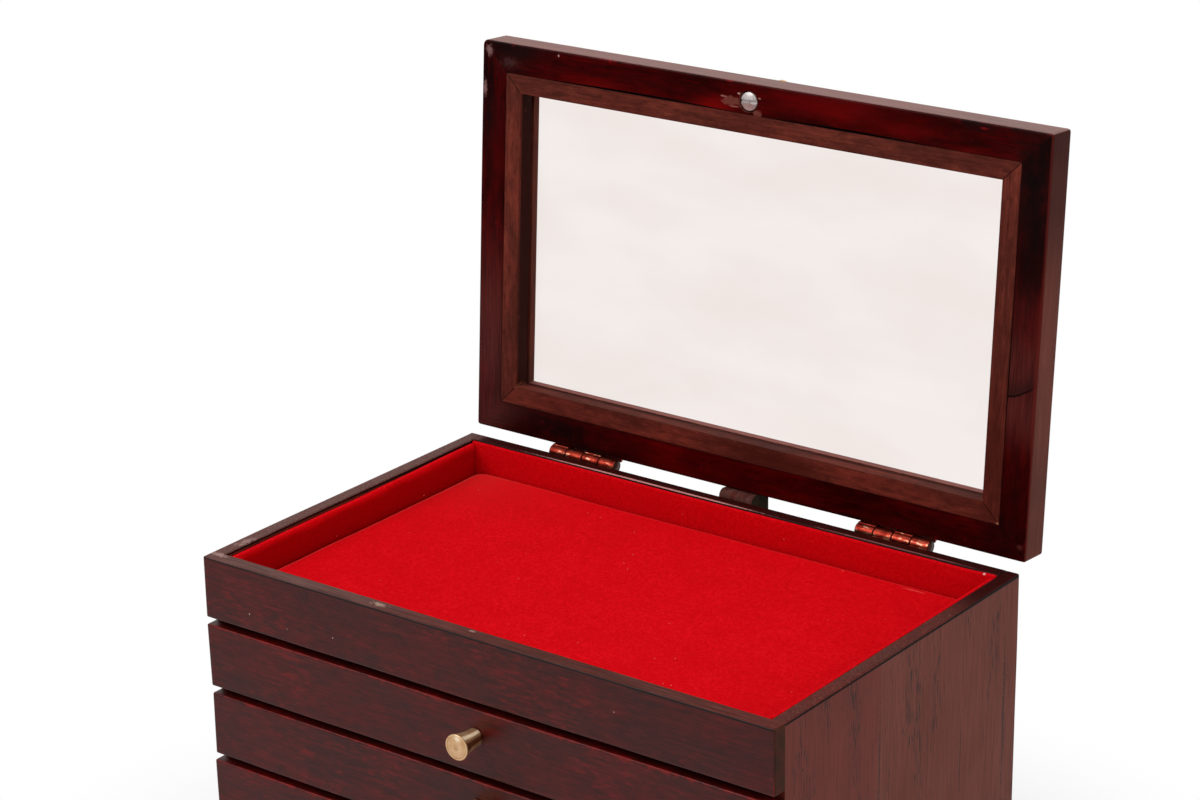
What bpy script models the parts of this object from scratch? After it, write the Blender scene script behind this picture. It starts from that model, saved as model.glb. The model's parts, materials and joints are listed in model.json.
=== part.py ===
"""Tabletop chest of shallow drawers under a velvet-lined tray with a glazed lid.

Metres, +Z up. The origin is the middle of the base board's underside, and the front faces -Y.
The drawers are shut and the lid stands open, leaning back on its stop.
"""

import math

import bmesh
import bpy

# Carcase
WIDTH = 0.300
DEPTH = 0.1856
WALL = 0.0065
FRONT = 0.0070
BASE = 0.0070
RAIL_HEIGHT = 0.0289
EDGE_ROUND = 0.0009

# Drawers
DRAWERS = 5
FRONT_HEIGHT = 0.0296
FRONT_GAP = 0.0033
BOX_SIDE = 0.0040
BOX_DROP = 0.0030
BOTTOM = 0.0025
BOTTOM_RISE = 0.0020
SIDE_PLAY = 0.0008
BACK_PLAY = 0.0040
GROOVE = 0.0030
RUN_PLAY = 0.0003
RUN_SIDE_PLAY = 0.0006
DRAWER_PAD = 0.0030

# Tray and its velvet lining
TRAY_DEPTH = 0.0180
TRAY_FLOOR = 0.0030
LINING = 0.0020
LINING_DROP = 0.0020
TRAY_PAD = 0.0040
PAD_GAP = 0.0008
PAD_LEFT_GAP = 0.0050
PAD_CROWN = 0.0006
PAD_WAIST = 0.0007
PAD_ROLL = 0.0012

# Lid
LID_OVERHANG = 0.0007
LID_THICK = 0.0146
LID_MARGIN = 0.0137
BEAD_WIDTH = 0.0091
LID_LIP = 0.0040
LID_ROUND = 0.0022
GLASS = 0.0020
GLASS_PLAY = 0.0005
LID_LEAN = math.radians(3.87)

# Turned knobs and their screws
KNOB_LENGTH = 0.0125
KNOB_FACE = 0.0115
KNOB_NECK = 0.0086
KNOB_FOOT = 0.0094
KNOB_RIM = 0.0008
KNOB_FLARE = 0.0085
KNOB_FOOT_HIGH = 0.0018
KNOB_FOOT_FLARE = 0.0011
KNOB_DOWN = 0.0122
DRAWER_KNOB_SIDE = 0.0013
LID_KNOB_SIDE = -0.0014
LID_KNOB_IN = 0.0083
SCREW_SHANK = 0.0036
SCREW_HEAD = 0.0085
SCREW_HEAD_HIGH = 0.0022
SCREW_BITE = 0.0060
SLOT_WIDE = 0.0012
SLOT_DEEP = 0.0010
SINK = 0.0026
SINK_PLAY = 0.0004

# Hinges and the lid's stop
HINGE_LENGTH = 0.0380
HINGE_INSET = 0.0460
HINGE_DROP = 0.0004
LEAF_HIGH = 0.0125
LEAF = 0.0012
LEAF_LAP = 0.00034
BARREL = 0.0048
PIN = 0.0022
KNUCKLES = 4
STOP_WIDTH = 0.0178
STOP_SIDE = 0.0028
STOP_DEPTH = 0.0135
STOP_HIGH = 0.0250
STOP_CHAMFER = 0.0050

# Clearance between pieces that touch
SEAT = 0.0003

# Sizes that follow from those above
PITCH = FRONT_HEIGHT + FRONT_GAP
HEIGHT = BASE + FRONT_GAP + DRAWERS * PITCH + RAIL_HEIGHT
FRONT_Y = -DEPTH / 2
BACK_Y = DEPTH / 2
INSIDE_X = WIDTH / 2 - WALL
INSIDE_BACK = BACK_Y - WALL
PANEL_FRONT = FRONT_Y + FRONT + SEAT
BARREL_RADIUS = BARREL / 2
HINGE_OUT = SEAT + LEAF + BARREL_RADIUS - LEAF_LAP
HINGE_Y = BACK_Y + HINGE_OUT
HINGE_Z = HEIGHT - HINGE_DROP
LID_DEPTH = DEPTH + LID_OVERHANG

# How finely curves are divided, and how far a cutter stands proud
ROUND_SIDES = 24
FLARE_STEPS = 4
BARREL_STEPS = 18
CURVE_STEPS = 8
PAD_CUTS = 5
OVERCUT = 0.0010
ROUND_FROM = math.radians(50)
SHARP_FROM = math.radians(35)

PARTS = "chest_of_drawers"
CUTTERS = "chest_cutters"

FINISHES = {
    "front_lacquer": ((0.069, 0.025, 0.023), 0.42, 0.0),
    "side_lacquer": ((0.125, 0.047, 0.037), 0.48, 0.0),
    "lid_lacquer": ((0.060, 0.008, 0.008), 0.25, 0.0),
    "bead_wood": ((0.110, 0.036, 0.025), 0.62, 0.0),
    "inner_wood": ((0.250, 0.130, 0.072), 0.70, 0.0),
    "velvet": ((0.600, 0.004, 0.010), 0.95, 0.0),
    "brass": ((0.700, 0.490, 0.240), 0.30, 1.0),
    "hinge_brass": ((0.330, 0.130, 0.080), 0.38, 1.0),
    "steel": ((0.620, 0.610, 0.600), 0.25, 1.0),
    "glass": ((0.900, 0.890, 0.880), 0.03, 0.0),
}


def clear_scene():
    for obj in list(bpy.data.objects):
        bpy.data.objects.remove(obj, do_unlink=True)


def new_collection(name):
    made = bpy.data.collections.new(name)
    bpy.context.scene.collection.children.link(made)
    return made


def new_material(name, colour, roughness, metallic):
    made = bpy.data.materials.new(name)
    made.use_nodes = True
    shader = made.node_tree.nodes["Principled BSDF"]
    shader.inputs["Base Color"].default_value = (*colour, 1.0)
    shader.inputs["Roughness"].default_value = roughness
    shader.inputs["Metallic"].default_value = metallic
    made.diffuse_color = (*colour, 1.0)
    return made


def new_pivot(name, location, tilt=0.0):
    """An empty on a moving piece's axis: its pieces are placed from there."""
    pivot = bpy.data.objects.new(name, None)
    pivot.empty_display_size = 0.02
    pivot.location = location
    pivot.rotation_euler = (tilt, 0.0, 0.0)
    bpy.data.collections[PARTS].objects.link(pivot)
    return pivot


def new_part(name, mesh, finish, pivot=None, location=(0.0, 0.0, 0.0), turn=(0.0, 0.0, 0.0)):
    """A named piece of the chest. A piece with no finish is a cutter."""
    obj = bpy.data.objects.new(name, mesh)
    obj.parent = pivot
    obj.location = location
    obj.rotation_euler = turn
    if finish:
        mesh.materials.append(bpy.data.materials[finish])
        bpy.data.collections[PARTS].objects.link(obj)
    else:
        obj.hide_render = True
        obj.display_type = "WIRE"
        bpy.data.collections[CUTTERS].objects.link(obj)
    return obj


def mesh_from(shape, name):
    bmesh.ops.recalc_face_normals(shape, faces=shape.faces)
    mesh = bpy.data.meshes.new(name)
    shape.to_mesh(mesh)
    shape.free()
    return mesh


def box_mesh(name, size):
    shape = bmesh.new()
    bmesh.ops.create_cube(shape, size=1.0)
    bmesh.ops.scale(shape, vec=size, verts=shape.verts)
    return mesh_from(shape, name)


def middle_and_size(low, high):
    middle = [(a + b) / 2 for a, b in zip(low, high)]
    size = [b - a for a, b in zip(low, high)]
    return middle, size


def round_edges(obj, width, segments=2):
    bevel = obj.modifiers.new("Edges", "BEVEL")
    bevel.width = width
    bevel.segments = segments
    bevel.limit_method = "ANGLE"
    bevel.angle_limit = ROUND_FROM
    obj.data.shade_smooth()
    obj.data.set_sharp_from_angle(angle=SHARP_FROM)


def board(name, low, high, finish, pivot=None):
    """A plain board between two corners, its edges eased."""
    middle, size = middle_and_size(low, high)
    obj = new_part(name, box_mesh(name, size), finish, pivot, middle)
    round_edges(obj, min(EDGE_ROUND, min(size) / 4))
    return obj


def cutter_box(name, low, high, pivot=None):
    middle, size = middle_and_size(low, high)
    return new_part(name, box_mesh(name, size), None, pivot, middle)


def cutter_rod(name, radius, start, end, turn, pivot=None):
    """A round cutter between two points, its axis turned from +Z."""
    middle, span = middle_and_size(start, end)
    shape = bmesh.new()
    bmesh.ops.create_cone(
        shape,
        cap_ends=True,
        segments=ROUND_SIDES,
        radius1=radius,
        radius2=radius,
        depth=max(abs(s) for s in span),
    )
    return new_part(name, mesh_from(shape, name), None, pivot, middle, turn)


def cut(obj, cutter):
    boolean = obj.modifiers.new(cutter.name, "BOOLEAN")
    boolean.operation = "DIFFERENCE"
    boolean.solver = "EXACT"
    boolean.object = cutter


def prism_mesh(name, outline, length):
    """A closed (y, z) outline carried along X, centred on it."""
    shape = bmesh.new()
    points = [shape.verts.new((-length / 2, y, z)) for y, z in outline]
    face = shape.faces.new(points)
    drawn = bmesh.ops.extrude_face_region(shape, geom=[face])
    moved = [v for v in drawn["geom"] if isinstance(v, bmesh.types.BMVert)]
    bmesh.ops.translate(shape, vec=(length, 0.0, 0.0), verts=moved)
    return mesh_from(shape, name)


def arc(centre, radius, start, end, steps):
    """Points on a circle from one angle to another, both ends included."""
    angles = [start + (end - start) * i / steps for i in range(steps + 1)]
    return [(centre[0] + radius * math.cos(a), centre[1] + radius * math.sin(a)) for a in angles]


def turned(name, profile, finish, pivot, location, turn):
    """A profile of (radius, height) points, listed from top to bottom, spun about its own axis."""
    shape = bmesh.new()
    points = [shape.verts.new((r, 0.0, z)) for r, z in profile]
    for above, below in zip(points, points[1:]):
        shape.edges.new((above, below))
    mesh = bpy.data.meshes.new(name)
    shape.to_mesh(mesh)
    shape.free()
    obj = new_part(name, mesh, finish, pivot, location, turn)
    spin = obj.modifiers.new("Turned", "SCREW")
    spin.steps = ROUND_SIDES
    spin.render_steps = ROUND_SIDES
    spin.use_merge_vertices = True
    spin.merge_threshold = 0.00001
    spin.use_smooth_shade = True
    return obj


def pad(name, low, high, pivot=None):
    """A velvet pad: a crowned top, sides drawn in between the corners, and rolled edges."""
    middle, size = middle_and_size(low, high)
    half_x, half_y, half_z = (s / 2 for s in size)
    shape = bmesh.new()
    bmesh.ops.create_cube(shape, size=1.0)
    bmesh.ops.scale(shape, vec=size, verts=shape.verts)
    level = [e for e in shape.edges if abs(e.verts[0].co.z - e.verts[1].co.z) < half_z]
    bmesh.ops.subdivide_edges(shape, edges=level, cuts=PAD_CUTS, use_grid_fill=True)
    for vert in shape.verts:
        across = 1 - (vert.co.x / half_x) ** 2
        along = 1 - (vert.co.y / half_y) ** 2
        crown = PAD_CROWN * (1 - across * along) if vert.co.z > 0 else 0.0
        vert.co.x -= math.copysign(PAD_WAIST * along, vert.co.x) * (across < 0.01)
        vert.co.y -= math.copysign(PAD_WAIST * across, vert.co.y) * (along < 0.01)
        vert.co.z -= crown
    obj = new_part(name, mesh_from(shape, name), "velvet", pivot, middle)
    round_edges(obj, min(PAD_ROLL, half_z * 0.6))
    return obj


def knob_profile():
    """Flat face, thin rim, a trumpet down to the neck, a flared foot and a blind screw hole."""
    face, neck, foot = KNOB_FACE / 2, KNOB_NECK / 2, KNOB_FOOT / 2
    hole = SCREW_SHANK / 2 + SEAT
    flare_top = KNOB_LENGTH - KNOB_RIM
    ease = KNOB_RIM / 3
    profile = [(0.0, KNOB_LENGTH), (face - ease, KNOB_LENGTH), (face, KNOB_LENGTH - ease)]
    for step in range(FLARE_STEPS + 1):
        share = step / FLARE_STEPS
        radius = neck + (face - neck) * (1 - share) ** 2
        profile.append((radius, flare_top - KNOB_FLARE * share))
    profile += [(neck, KNOB_FOOT_HIGH + KNOB_FOOT_FLARE), (foot, KNOB_FOOT_HIGH), (foot, 0.0)]
    profile += [(hole, 0.0), (hole, SCREW_BITE + SEAT), (0.0, SCREW_BITE + SEAT)]
    return profile


def screw_profile(grip):
    """A domed slotted head over a shank that goes through the wood and into the knob."""
    head, shank = SCREW_HEAD / 2, SCREW_SHANK / 2
    end = -(grip + SCREW_BITE)
    return [
        (0.0, SCREW_HEAD_HIGH),
        (head * 0.6, SCREW_HEAD_HIGH * 0.92),
        (head * 0.9, SCREW_HEAD_HIGH * 0.62),
        (head, SCREW_HEAD_HIGH * 0.3),
        (head, 0.0),
        (shank, 0.0),
        (shank, end + shank / 2),
        (shank / 2, end),
        (0.0, end),
    ]


def knob_and_screw(name, wood, wood_thick, spot, face_turn, pivot):
    """A turned knob on a board's show face and the sunk screw that holds it from behind.

    spot is the middle of the knob's seat, and face_turn turns +Z to the show face's outward normal.
    """
    outward = (0.0, -math.sin(face_turn[0]), math.cos(face_turn[0]))
    behind = (face_turn[0] + math.pi, 0.0, 0.0)

    def along(distance):
        return tuple(s + distance * o for s, o in zip(spot, outward))

    turned(name, knob_profile(), "brass", pivot, along(SEAT), face_turn)
    head_seat = -wood_thick + SINK - SEAT
    screw = turned(
        name + "_screw",
        screw_profile(-head_seat + SEAT),
        "steel",
        pivot,
        along(head_seat),
        behind,
    )
    slot_low = (-SCREW_HEAD, -SLOT_WIDE / 2, SCREW_HEAD_HIGH - SLOT_DEEP)
    slot_high = (SCREW_HEAD, SLOT_WIDE / 2, SCREW_HEAD_HIGH + OVERCUT)
    cut(screw, cutter_box(name + "_slot", slot_low, slot_high, screw))
    hole_radius = SCREW_SHANK / 2 + SEAT
    hole_ends = (along(OVERCUT), along(-wood_thick - OVERCUT))
    cut(wood, cutter_rod(name + "_hole", hole_radius, *hole_ends, face_turn, pivot))
    sink_radius = SCREW_HEAD / 2 + SINK_PLAY
    sink_ends = (along(-wood_thick + SINK), along(-wood_thick - OVERCUT))
    cut(wood, cutter_rod(name + "_sink", sink_radius, *sink_ends, face_turn, pivot))


def drawer_floor(index):
    """Height of the lower edge of a drawer's front, the first drawer being the top one."""
    return HEIGHT - RAIL_HEIGHT - (index + 1) * PITCH


def carcase():
    """Base board, two grooved sides, back, front rail and the tray's floor."""
    half = WIDTH / 2
    board("base_board", (-half, FRONT_Y, 0.0), (half, BACK_Y, BASE), "side_lacquer")
    floor_top = HEIGHT - TRAY_DEPTH
    for side, sign in (("left", -1), ("right", 1)):
        near, far = sorted((sign * INSIDE_X, sign * half))
        panel = board(
            "side_panel_" + side,
            (near, PANEL_FRONT, BASE + SEAT),
            (far, BACK_Y, HEIGHT),
            "side_lacquer",
        )
        grooves = {"tray": (floor_top - TRAY_FLOOR - SEAT, floor_top + SEAT)}
        for index in range(DRAWERS):
            runner = drawer_floor(index) + BOTTOM_RISE
            grooves["drawer_%d" % (index + 1)] = (runner - RUN_PLAY, runner + BOTTOM + RUN_PLAY)
        open_x, deep_x = sorted((sign * (INSIDE_X - OVERCUT), sign * (INSIDE_X + GROOVE)))
        for use, (low_z, high_z) in grooves.items():
            groove = cutter_box(
                "groove_%s_%s" % (side, use),
                (open_x, PANEL_FRONT - OVERCUT, low_z),
                (deep_x, INSIDE_BACK, high_z),
            )
            cut(panel, groove)
    back_x = INSIDE_X - SEAT
    board("back_panel", (-back_x, INSIDE_BACK, BASE + SEAT), (back_x, BACK_Y, HEIGHT), "side_lacquer")
    rail_low = (-half, FRONT_Y, HEIGHT - RAIL_HEIGHT)
    board("front_rail", rail_low, (half, FRONT_Y + FRONT, HEIGHT), "front_lacquer")
    tray_x = INSIDE_X + GROOVE - SEAT
    board(
        "tray_floor",
        (-tray_x, PANEL_FRONT, floor_top - TRAY_FLOOR),
        (tray_x, INSIDE_BACK - SEAT, floor_top),
        "inner_wood",
    )


def tray_lining():
    """Four velvet-covered cards against the tray's walls, and the pad on its floor."""
    foot = HEIGHT - TRAY_DEPTH + SEAT
    top = HEIGHT - LINING_DROP
    wall_x = INSIDE_X - SEAT
    wall_front = PANEL_FRONT
    wall_back = INSIDE_BACK - SEAT
    card_x = wall_x - LINING
    card_front = wall_front + LINING
    card_back = wall_back - LINING
    board("lining_front", (-wall_x, wall_front, foot), (wall_x, card_front, top), "velvet")
    board("lining_back", (-wall_x, card_back, foot), (wall_x, wall_back, top), "velvet")
    side_front = card_front + SEAT
    side_back = card_back - SEAT
    board("lining_left", (-wall_x, side_front, foot), (-card_x, side_back, top), "velvet")
    board("lining_right", (card_x, side_front, foot), (wall_x, side_back, top), "velvet")
    pad(
        "tray_pad",
        (-card_x + PAD_LEFT_GAP, card_front + PAD_GAP, foot),
        (card_x - PAD_GAP, card_back - PAD_GAP, foot + TRAY_PAD),
    )


def drawer(index):
    """One drawer on its slide: front, glued sides and back, bottom, pad, knob and knob screw."""
    name = "drawer_%d" % (index + 1)
    slide = new_pivot(name + "_slide", (0.0, FRONT_Y, drawer_floor(index)))
    half = WIDTH / 2
    front = board(
        name + "_front",
        (-half, 0.0, 0.0),
        (half, FRONT, FRONT_HEIGHT),
        "front_lacquer",
        slide,
    )
    spot = (DRAWER_KNOB_SIDE, 0.0, FRONT_HEIGHT - KNOB_DOWN)
    knob_and_screw(name + "_knob", front, FRONT, spot, (math.pi / 2, 0.0, 0.0), slide)
    box_front = FRONT + SEAT
    box_back = DEPTH - WALL - BACK_PLAY
    box_x = INSIDE_X - SIDE_PLAY
    inner_x = box_x - BOX_SIDE
    inner_back = box_back - BOX_SIDE
    foot = BOTTOM_RISE + BOTTOM + SEAT
    box_high = FRONT_HEIGHT - BOX_DROP - foot
    bottom_x = INSIDE_X + GROOVE - RUN_SIDE_PLAY
    board(
        name + "_bottom",
        (-bottom_x, box_front, BOTTOM_RISE),
        (bottom_x, box_back, BOTTOM_RISE + BOTTOM),
        "inner_wood",
        slide,
    )
    outline = [
        (-box_x, box_front),
        (-inner_x, box_front),
        (-inner_x, inner_back),
        (inner_x, inner_back),
        (inner_x, box_front),
        (box_x, box_front),
        (box_x, box_back),
        (-box_x, box_back),
    ]
    walls = new_part(
        name + "_box",
        prism_mesh(name + "_box", outline, box_high),
        "inner_wood",
        slide,
        (0.0, 0.0, foot + box_high / 2),
        (0.0, -math.pi / 2, -math.pi / 2),
    )
    round_edges(walls, min(EDGE_ROUND, BOX_SIDE / 4))
    pad(
        name + "_pad",
        (-inner_x + PAD_GAP, box_front + PAD_GAP, foot),
        (inner_x - PAD_GAP, inner_back - PAD_GAP, foot + DRAWER_PAD),
        slide,
    )


def mitred_bar(name, outline, length, finish, pivot, location, turn):
    """A moulding with 45 degree ends: each point is drawn in by its distance from the outer edge."""
    mesh = prism_mesh(name, outline, length)
    for vert in mesh.vertices:
        vert.co.x -= math.copysign(vert.co.y + SEAT, vert.co.x)
    return new_part(name, mesh, finish, pivot, location, (0.0, 0.0, turn))


def lid_sides():
    """Each side of the lid: name, middle of its outer edge from the lid's middle, turn and length."""
    half_x, half_y = WIDTH / 2, LID_DEPTH / 2
    return (
        ("front", (0.0, -half_y), 0.0, WIDTH),
        ("right", (half_x, 0.0), math.pi / 2, LID_DEPTH),
        ("back", (0.0, half_y), math.pi, WIDTH),
        ("left", (-half_x, 0.0), -math.pi / 2, LID_DEPTH),
    )


def frame_outline():
    """Section of the lid's frame: y runs in from the outer edge and z up from the inner face."""
    ease = min(EDGE_ROUND, LID_MARGIN / 4)
    lip_y = LID_MARGIN + BEAD_WIDTH
    rebate = LID_THICK - LID_LIP
    outline = [(0.0, ease), (ease, 0.0), (LID_MARGIN, 0.0), (LID_MARGIN, rebate), (lip_y, rebate)]
    outline += [(lip_y, LID_THICK - ease), (lip_y - ease, LID_THICK)]
    crown = (LID_ROUND, LID_THICK - LID_ROUND)
    return outline + arc(crown, LID_ROUND, math.pi / 2, math.pi, CURVE_STEPS // 2)


def bead_outline():
    """Section of a glazing bead, flush with the lid's inner face and with the frame's lip."""
    outer = LID_MARGIN + SEAT
    inner = LID_MARGIN + BEAD_WIDTH
    top = LID_THICK - LID_LIP - GLASS - 2 * SEAT
    ease = min(EDGE_ROUND, BEAD_WIDTH / 4) / 2
    return [(outer, 0.0), (inner - ease, 0.0), (inner, ease), (inner, top), (outer, top)]


def lid():
    """Mitred frame, glass held by four beads, knob and screw, on the hinges' axis."""
    pivot = new_pivot("lid_hinge", (0.0, HINGE_Y, HINGE_Z), -math.pi / 2 - LID_LEAN)
    middle_y = -HINGE_OUT - LID_DEPTH / 2
    face_z = HINGE_DROP + SEAT
    for side, (x, y), turn, length in lid_sides():
        spot = (x, middle_y + y, face_z)
        bar = mitred_bar("lid_frame_" + side, frame_outline(), length, "lid_lacquer", pivot, spot, turn)
        mitred_bar("glass_bead_" + side, bead_outline(), length, "bead_wood", pivot, spot, turn)
        if side == "front":
            knob_spot = (LID_KNOB_SIDE, spot[1] + LID_KNOB_IN, face_z + LID_THICK)
            knob_and_screw("lid_knob", bar, LID_THICK, knob_spot, (0.0, 0.0, 0.0), pivot)
    glass_x = WIDTH / 2 - LID_MARGIN - GLASS_PLAY
    glass_y = LID_DEPTH / 2 - LID_MARGIN - GLASS_PLAY
    glass_top = face_z + LID_THICK - LID_LIP - SEAT
    board(
        "lid_glass",
        (-glass_x, middle_y - glass_y, glass_top - GLASS),
        (glass_x, middle_y + glass_y, glass_top),
        "glass",
        pivot,
    )
    return pivot


def leaf_outline():
    """Section of a hinge leaf below its axis: a plate against the wood, curled into the barrel."""
    near = -HINGE_OUT + SEAT
    outer = near + LEAF
    meet = math.acos(outer / BARREL_RADIUS)
    barrel = arc((0.0, 0.0), BARREL_RADIUS, math.pi, -meet, BARREL_STEPS)
    return [(near, -LEAF_HIGH), (near, 0.0)] + barrel + [(outer, -LEAF_HIGH)]


def hinge_leaf(name, pivot, location, first, upward):
    """A leaf with every other knuckle of the barrel, the rest cut away for the other leaf."""
    up = -1 if upward else 1
    outline = [(y, up * z) for y, z in leaf_outline()]
    leaf = new_part(name, prism_mesh(name, outline, HINGE_LENGTH), "hinge_brass", pivot, location)
    bore_ends = ((-HINGE_LENGTH, 0.0, 0.0), (HINGE_LENGTH, 0.0, 0.0))
    bore = cutter_rod(name + "_bore", PIN / 2 + SEAT, *bore_ends, (0.0, math.pi / 2, 0.0), leaf)
    cut(leaf, bore)
    knuckle = HINGE_LENGTH / KNUCKLES
    reach = BARREL_RADIUS + SEAT
    low_z, high_z = (-OVERCUT - reach, reach) if upward else (-reach, reach + OVERCUT)
    for index in range(1 - first, KNUCKLES, 2):
        start = -HINGE_LENGTH / 2 + index * knuckle
        low_x = start - (SEAT / 2 if index else OVERCUT)
        high_x = start + knuckle + (SEAT / 2 if index < KNUCKLES - 1 else OVERCUT)
        gap = cutter_box(
            "%s_gap_%d" % (name, index),
            (low_x, -HINGE_OUT - OVERCUT, low_z),
            (high_x, reach + OVERCUT, high_z),
            leaf,
        )
        cut(leaf, gap)


def hinge(side, sign, lid_pivot):
    """A butt hinge on the back: one leaf on the carcase, one on the lid's edge, and the pin."""
    x = sign * (WIDTH / 2 - HINGE_INSET - HINGE_LENGTH / 2)
    name = "hinge_" + side
    hinge_leaf(name + "_carcase_leaf", None, (x, HINGE_Y, HINGE_Z), 1, False)
    hinge_leaf(name + "_lid_leaf", lid_pivot, (x, 0.0, 0.0), 0, True)
    half = HINGE_LENGTH / 2
    ease = PIN / 8
    profile = [(0.0, half), (PIN / 2 - ease, half), (PIN / 2, half - ease)]
    profile += [(r, -z) for r, z in reversed(profile)]
    turned(name + "_pin", profile, "hinge_brass", None, (x, HINGE_Y, HINGE_Z), (0.0, math.pi / 2, 0.0))


def lid_stop():
    """Block on the back: its top is curved about the hinges' axis, then flat under the open lid."""
    near = SEAT - HINGE_OUT
    radius = HINGE_OUT - SEAT
    far = near + STOP_DEPTH
    flat_start = math.pi / 2 - LID_LEAN
    curve = arc((0.0, 0.0), radius, math.pi, flat_start, CURVE_STEPS)
    far_top = curve[-1][1] - math.tan(LID_LEAN) * (far - curve[-1][0])
    foot = -STOP_HIGH
    outline = curve + [(far, far_top), (far, foot + STOP_CHAMFER), (far - STOP_CHAMFER, foot), (near, foot)]
    mesh = prism_mesh("lid_stop", outline, STOP_WIDTH)
    new_part("lid_stop", mesh, "side_lacquer", None, (STOP_SIDE, HINGE_Y, HINGE_Z))


def build():
    clear_scene()
    new_collection(PARTS)
    new_collection(CUTTERS).hide_render = True
    for name, values in FINISHES.items():
        new_material(name, *values)
    carcase()
    tray_lining()
    for index in range(DRAWERS):
        drawer(index)
    lid_pivot = lid()
    for side, sign in (("left", -1), ("right", 1)):
        hinge(side, sign, lid_pivot)
    lid_stop()


build()
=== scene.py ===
"""Looks of a tabletop chest of shallow drawers: lacquered boards, velvet tray, glazed lid, brass knobs.

Metres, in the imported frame: the origin is under the base board, the fronts face -Y, the lid stands open.
"""

import json
import math

import bpy
import numpy as np
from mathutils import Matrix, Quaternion, Vector


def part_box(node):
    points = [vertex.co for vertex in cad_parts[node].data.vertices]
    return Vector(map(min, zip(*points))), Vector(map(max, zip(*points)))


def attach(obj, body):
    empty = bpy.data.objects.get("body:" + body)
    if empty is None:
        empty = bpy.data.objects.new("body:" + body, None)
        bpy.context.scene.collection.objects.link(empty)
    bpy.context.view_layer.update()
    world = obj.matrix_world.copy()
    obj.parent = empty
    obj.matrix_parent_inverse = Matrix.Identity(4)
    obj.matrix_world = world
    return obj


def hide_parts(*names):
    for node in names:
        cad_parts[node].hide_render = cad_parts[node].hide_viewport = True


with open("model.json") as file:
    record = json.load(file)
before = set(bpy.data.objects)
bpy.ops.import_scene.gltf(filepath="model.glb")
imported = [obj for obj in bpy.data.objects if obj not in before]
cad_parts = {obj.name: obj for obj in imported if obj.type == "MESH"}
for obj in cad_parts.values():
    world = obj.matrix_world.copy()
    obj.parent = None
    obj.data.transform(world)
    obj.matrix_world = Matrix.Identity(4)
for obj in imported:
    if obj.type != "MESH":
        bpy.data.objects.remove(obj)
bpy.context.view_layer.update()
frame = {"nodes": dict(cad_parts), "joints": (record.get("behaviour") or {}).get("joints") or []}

MM = 0.001
TURN = 2 * math.pi
DRAWERS = range(1, 6)
LID_JOINT = next(joint for joint in frame["joints"] if joint["name"] == "lid_hinge")
HINGE_AT = np.array(LID_JOINT["pos_m"])
LID_SWING = math.radians(LID_JOINT["range_deg"][1])
SIDES = ("front", "right", "back", "left")
CREASE = math.radians(50)

# Woodwork
BOARD_EASE = 0.9 * MM
BOARD_STEP = 5.0 * MM
BOARD_SWAY = 0.14 * MM
RUB_REACH = 0.9 * MM
END_TRIM = 0.5 * MM
TRAY_FLOOR_EASE = 0.3 * MM
BOX_SIDE = 4.0 * MM
BOX_EASE = 0.5 * MM
BOX_STEP = 8 * MM
BOX_FLOOR_EASE = 0.4 * MM
BOX_FLOOR_STEP = 10 * MM
GROOVE = 3.0 * MM
GROOVE_PLAY = 0.3 * MM
SHARP = 0.02 * MM
TOUCHING = 1e-7

# Velvet
LINING_EASE = 0.85 * MM
LINING_STEP = 3.0 * MM
LINING_SWAY = 0.18 * MM
LINING_RISE = 1.5 * MM
RIGHT_LINING_BELLY = 0.4 * MM
LEFT_LINING_LIFT = 0.9 * MM
BACK_LINING_LIFT = 0.5 * MM
PAD_CORNERS = ((-1, 1, 5 * MM), (1, 1, 3 * MM), (-1, -1, 3 * MM), (1, -1, 3 * MM))
PAD_EDGE = 0.34
PAD_STEP = 2.6 * MM
PAD_CROWN = 0.5 * MM
PAD_HOLLOW = 0.16 * MM
PAD_DRAWN_IN = 0.5 * MM
PAD_SWAY = 0.2 * MM
PAD_SKIRT = 1.2 * MM
PAD_SLUMP_WIDE = 9 * MM
PAD_WORN_WIDE = 22 * MM
TRAY_PAD_SLUMP = 4.7 * MM

# Knobs, screws and hinges
KNOB_NECK = 3.95 * MM
KNOB_FLARE = 9.6 * MM
KNOB_RIM = 0.8 * MM
# Painted shade over the whole neck of each knob and painted light over its face, added to the knob light mark
NECK_PAINTED_SHADE = 0.12
FACE_PAINTED_LIGHT = 0.1
SCREW_HEAD = 4.55 * MM
SCREW_HEAD_TALL = 2.2 * MM
SCREW_STEM = 1.8 * MM
DRAWER_SCREW_LONG = 10.9 * MM
LID_SCREW_LONG = 17.0 * MM
SINK_RADIUS = 4.8 * MM
SINK_RING = 0.4 * MM
SINK_DEEP = 2.6 * MM
BARREL = 2.95 * MM
BARREL_BEVEL = 0.18 * MM
LEAF = 1.2 * MM
LEAF_PLAY = 0.3 * MM
LEAF_SCREW = 2.3 * MM
LEAF_SCREW_TALL = 0.5 * MM
LEAF_SCREWS_AT = ((-13, 7.4), (0, 8.6), (13, 7.4))
KNUCKLES = 4
KNUCKLE_GAP = 0.15 * MM
KNUCKLE_BEVEL = 0.2 * MM
KNUCKLE_GRIME = 0.45 * MM
FOLD_LIP = 0.8 * MM
FOLD_DROP = 1.3 * MM
STOP_CHAMFER = 5 * MM
STOP_ROUNDS = np.array([0.5, 0.8, 0.8, 0.1]) * MM


# Shapes


def corners(node):
    """A CAD node's lowest and highest corner."""
    low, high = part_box(node)
    return np.array(low), np.array(high)


def swung(points, angle):
    """Points turned about the lid's hinge axis, which runs along X."""
    y, z = points[:, 1] - HINGE_AT[1], points[:, 2] - HINGE_AT[2]
    c, s = math.cos(angle), math.sin(angle)
    return np.column_stack([points[:, 0], HINGE_AT[1] + c * y - s * z, HINGE_AT[2] + s * y + c * z])


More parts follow.
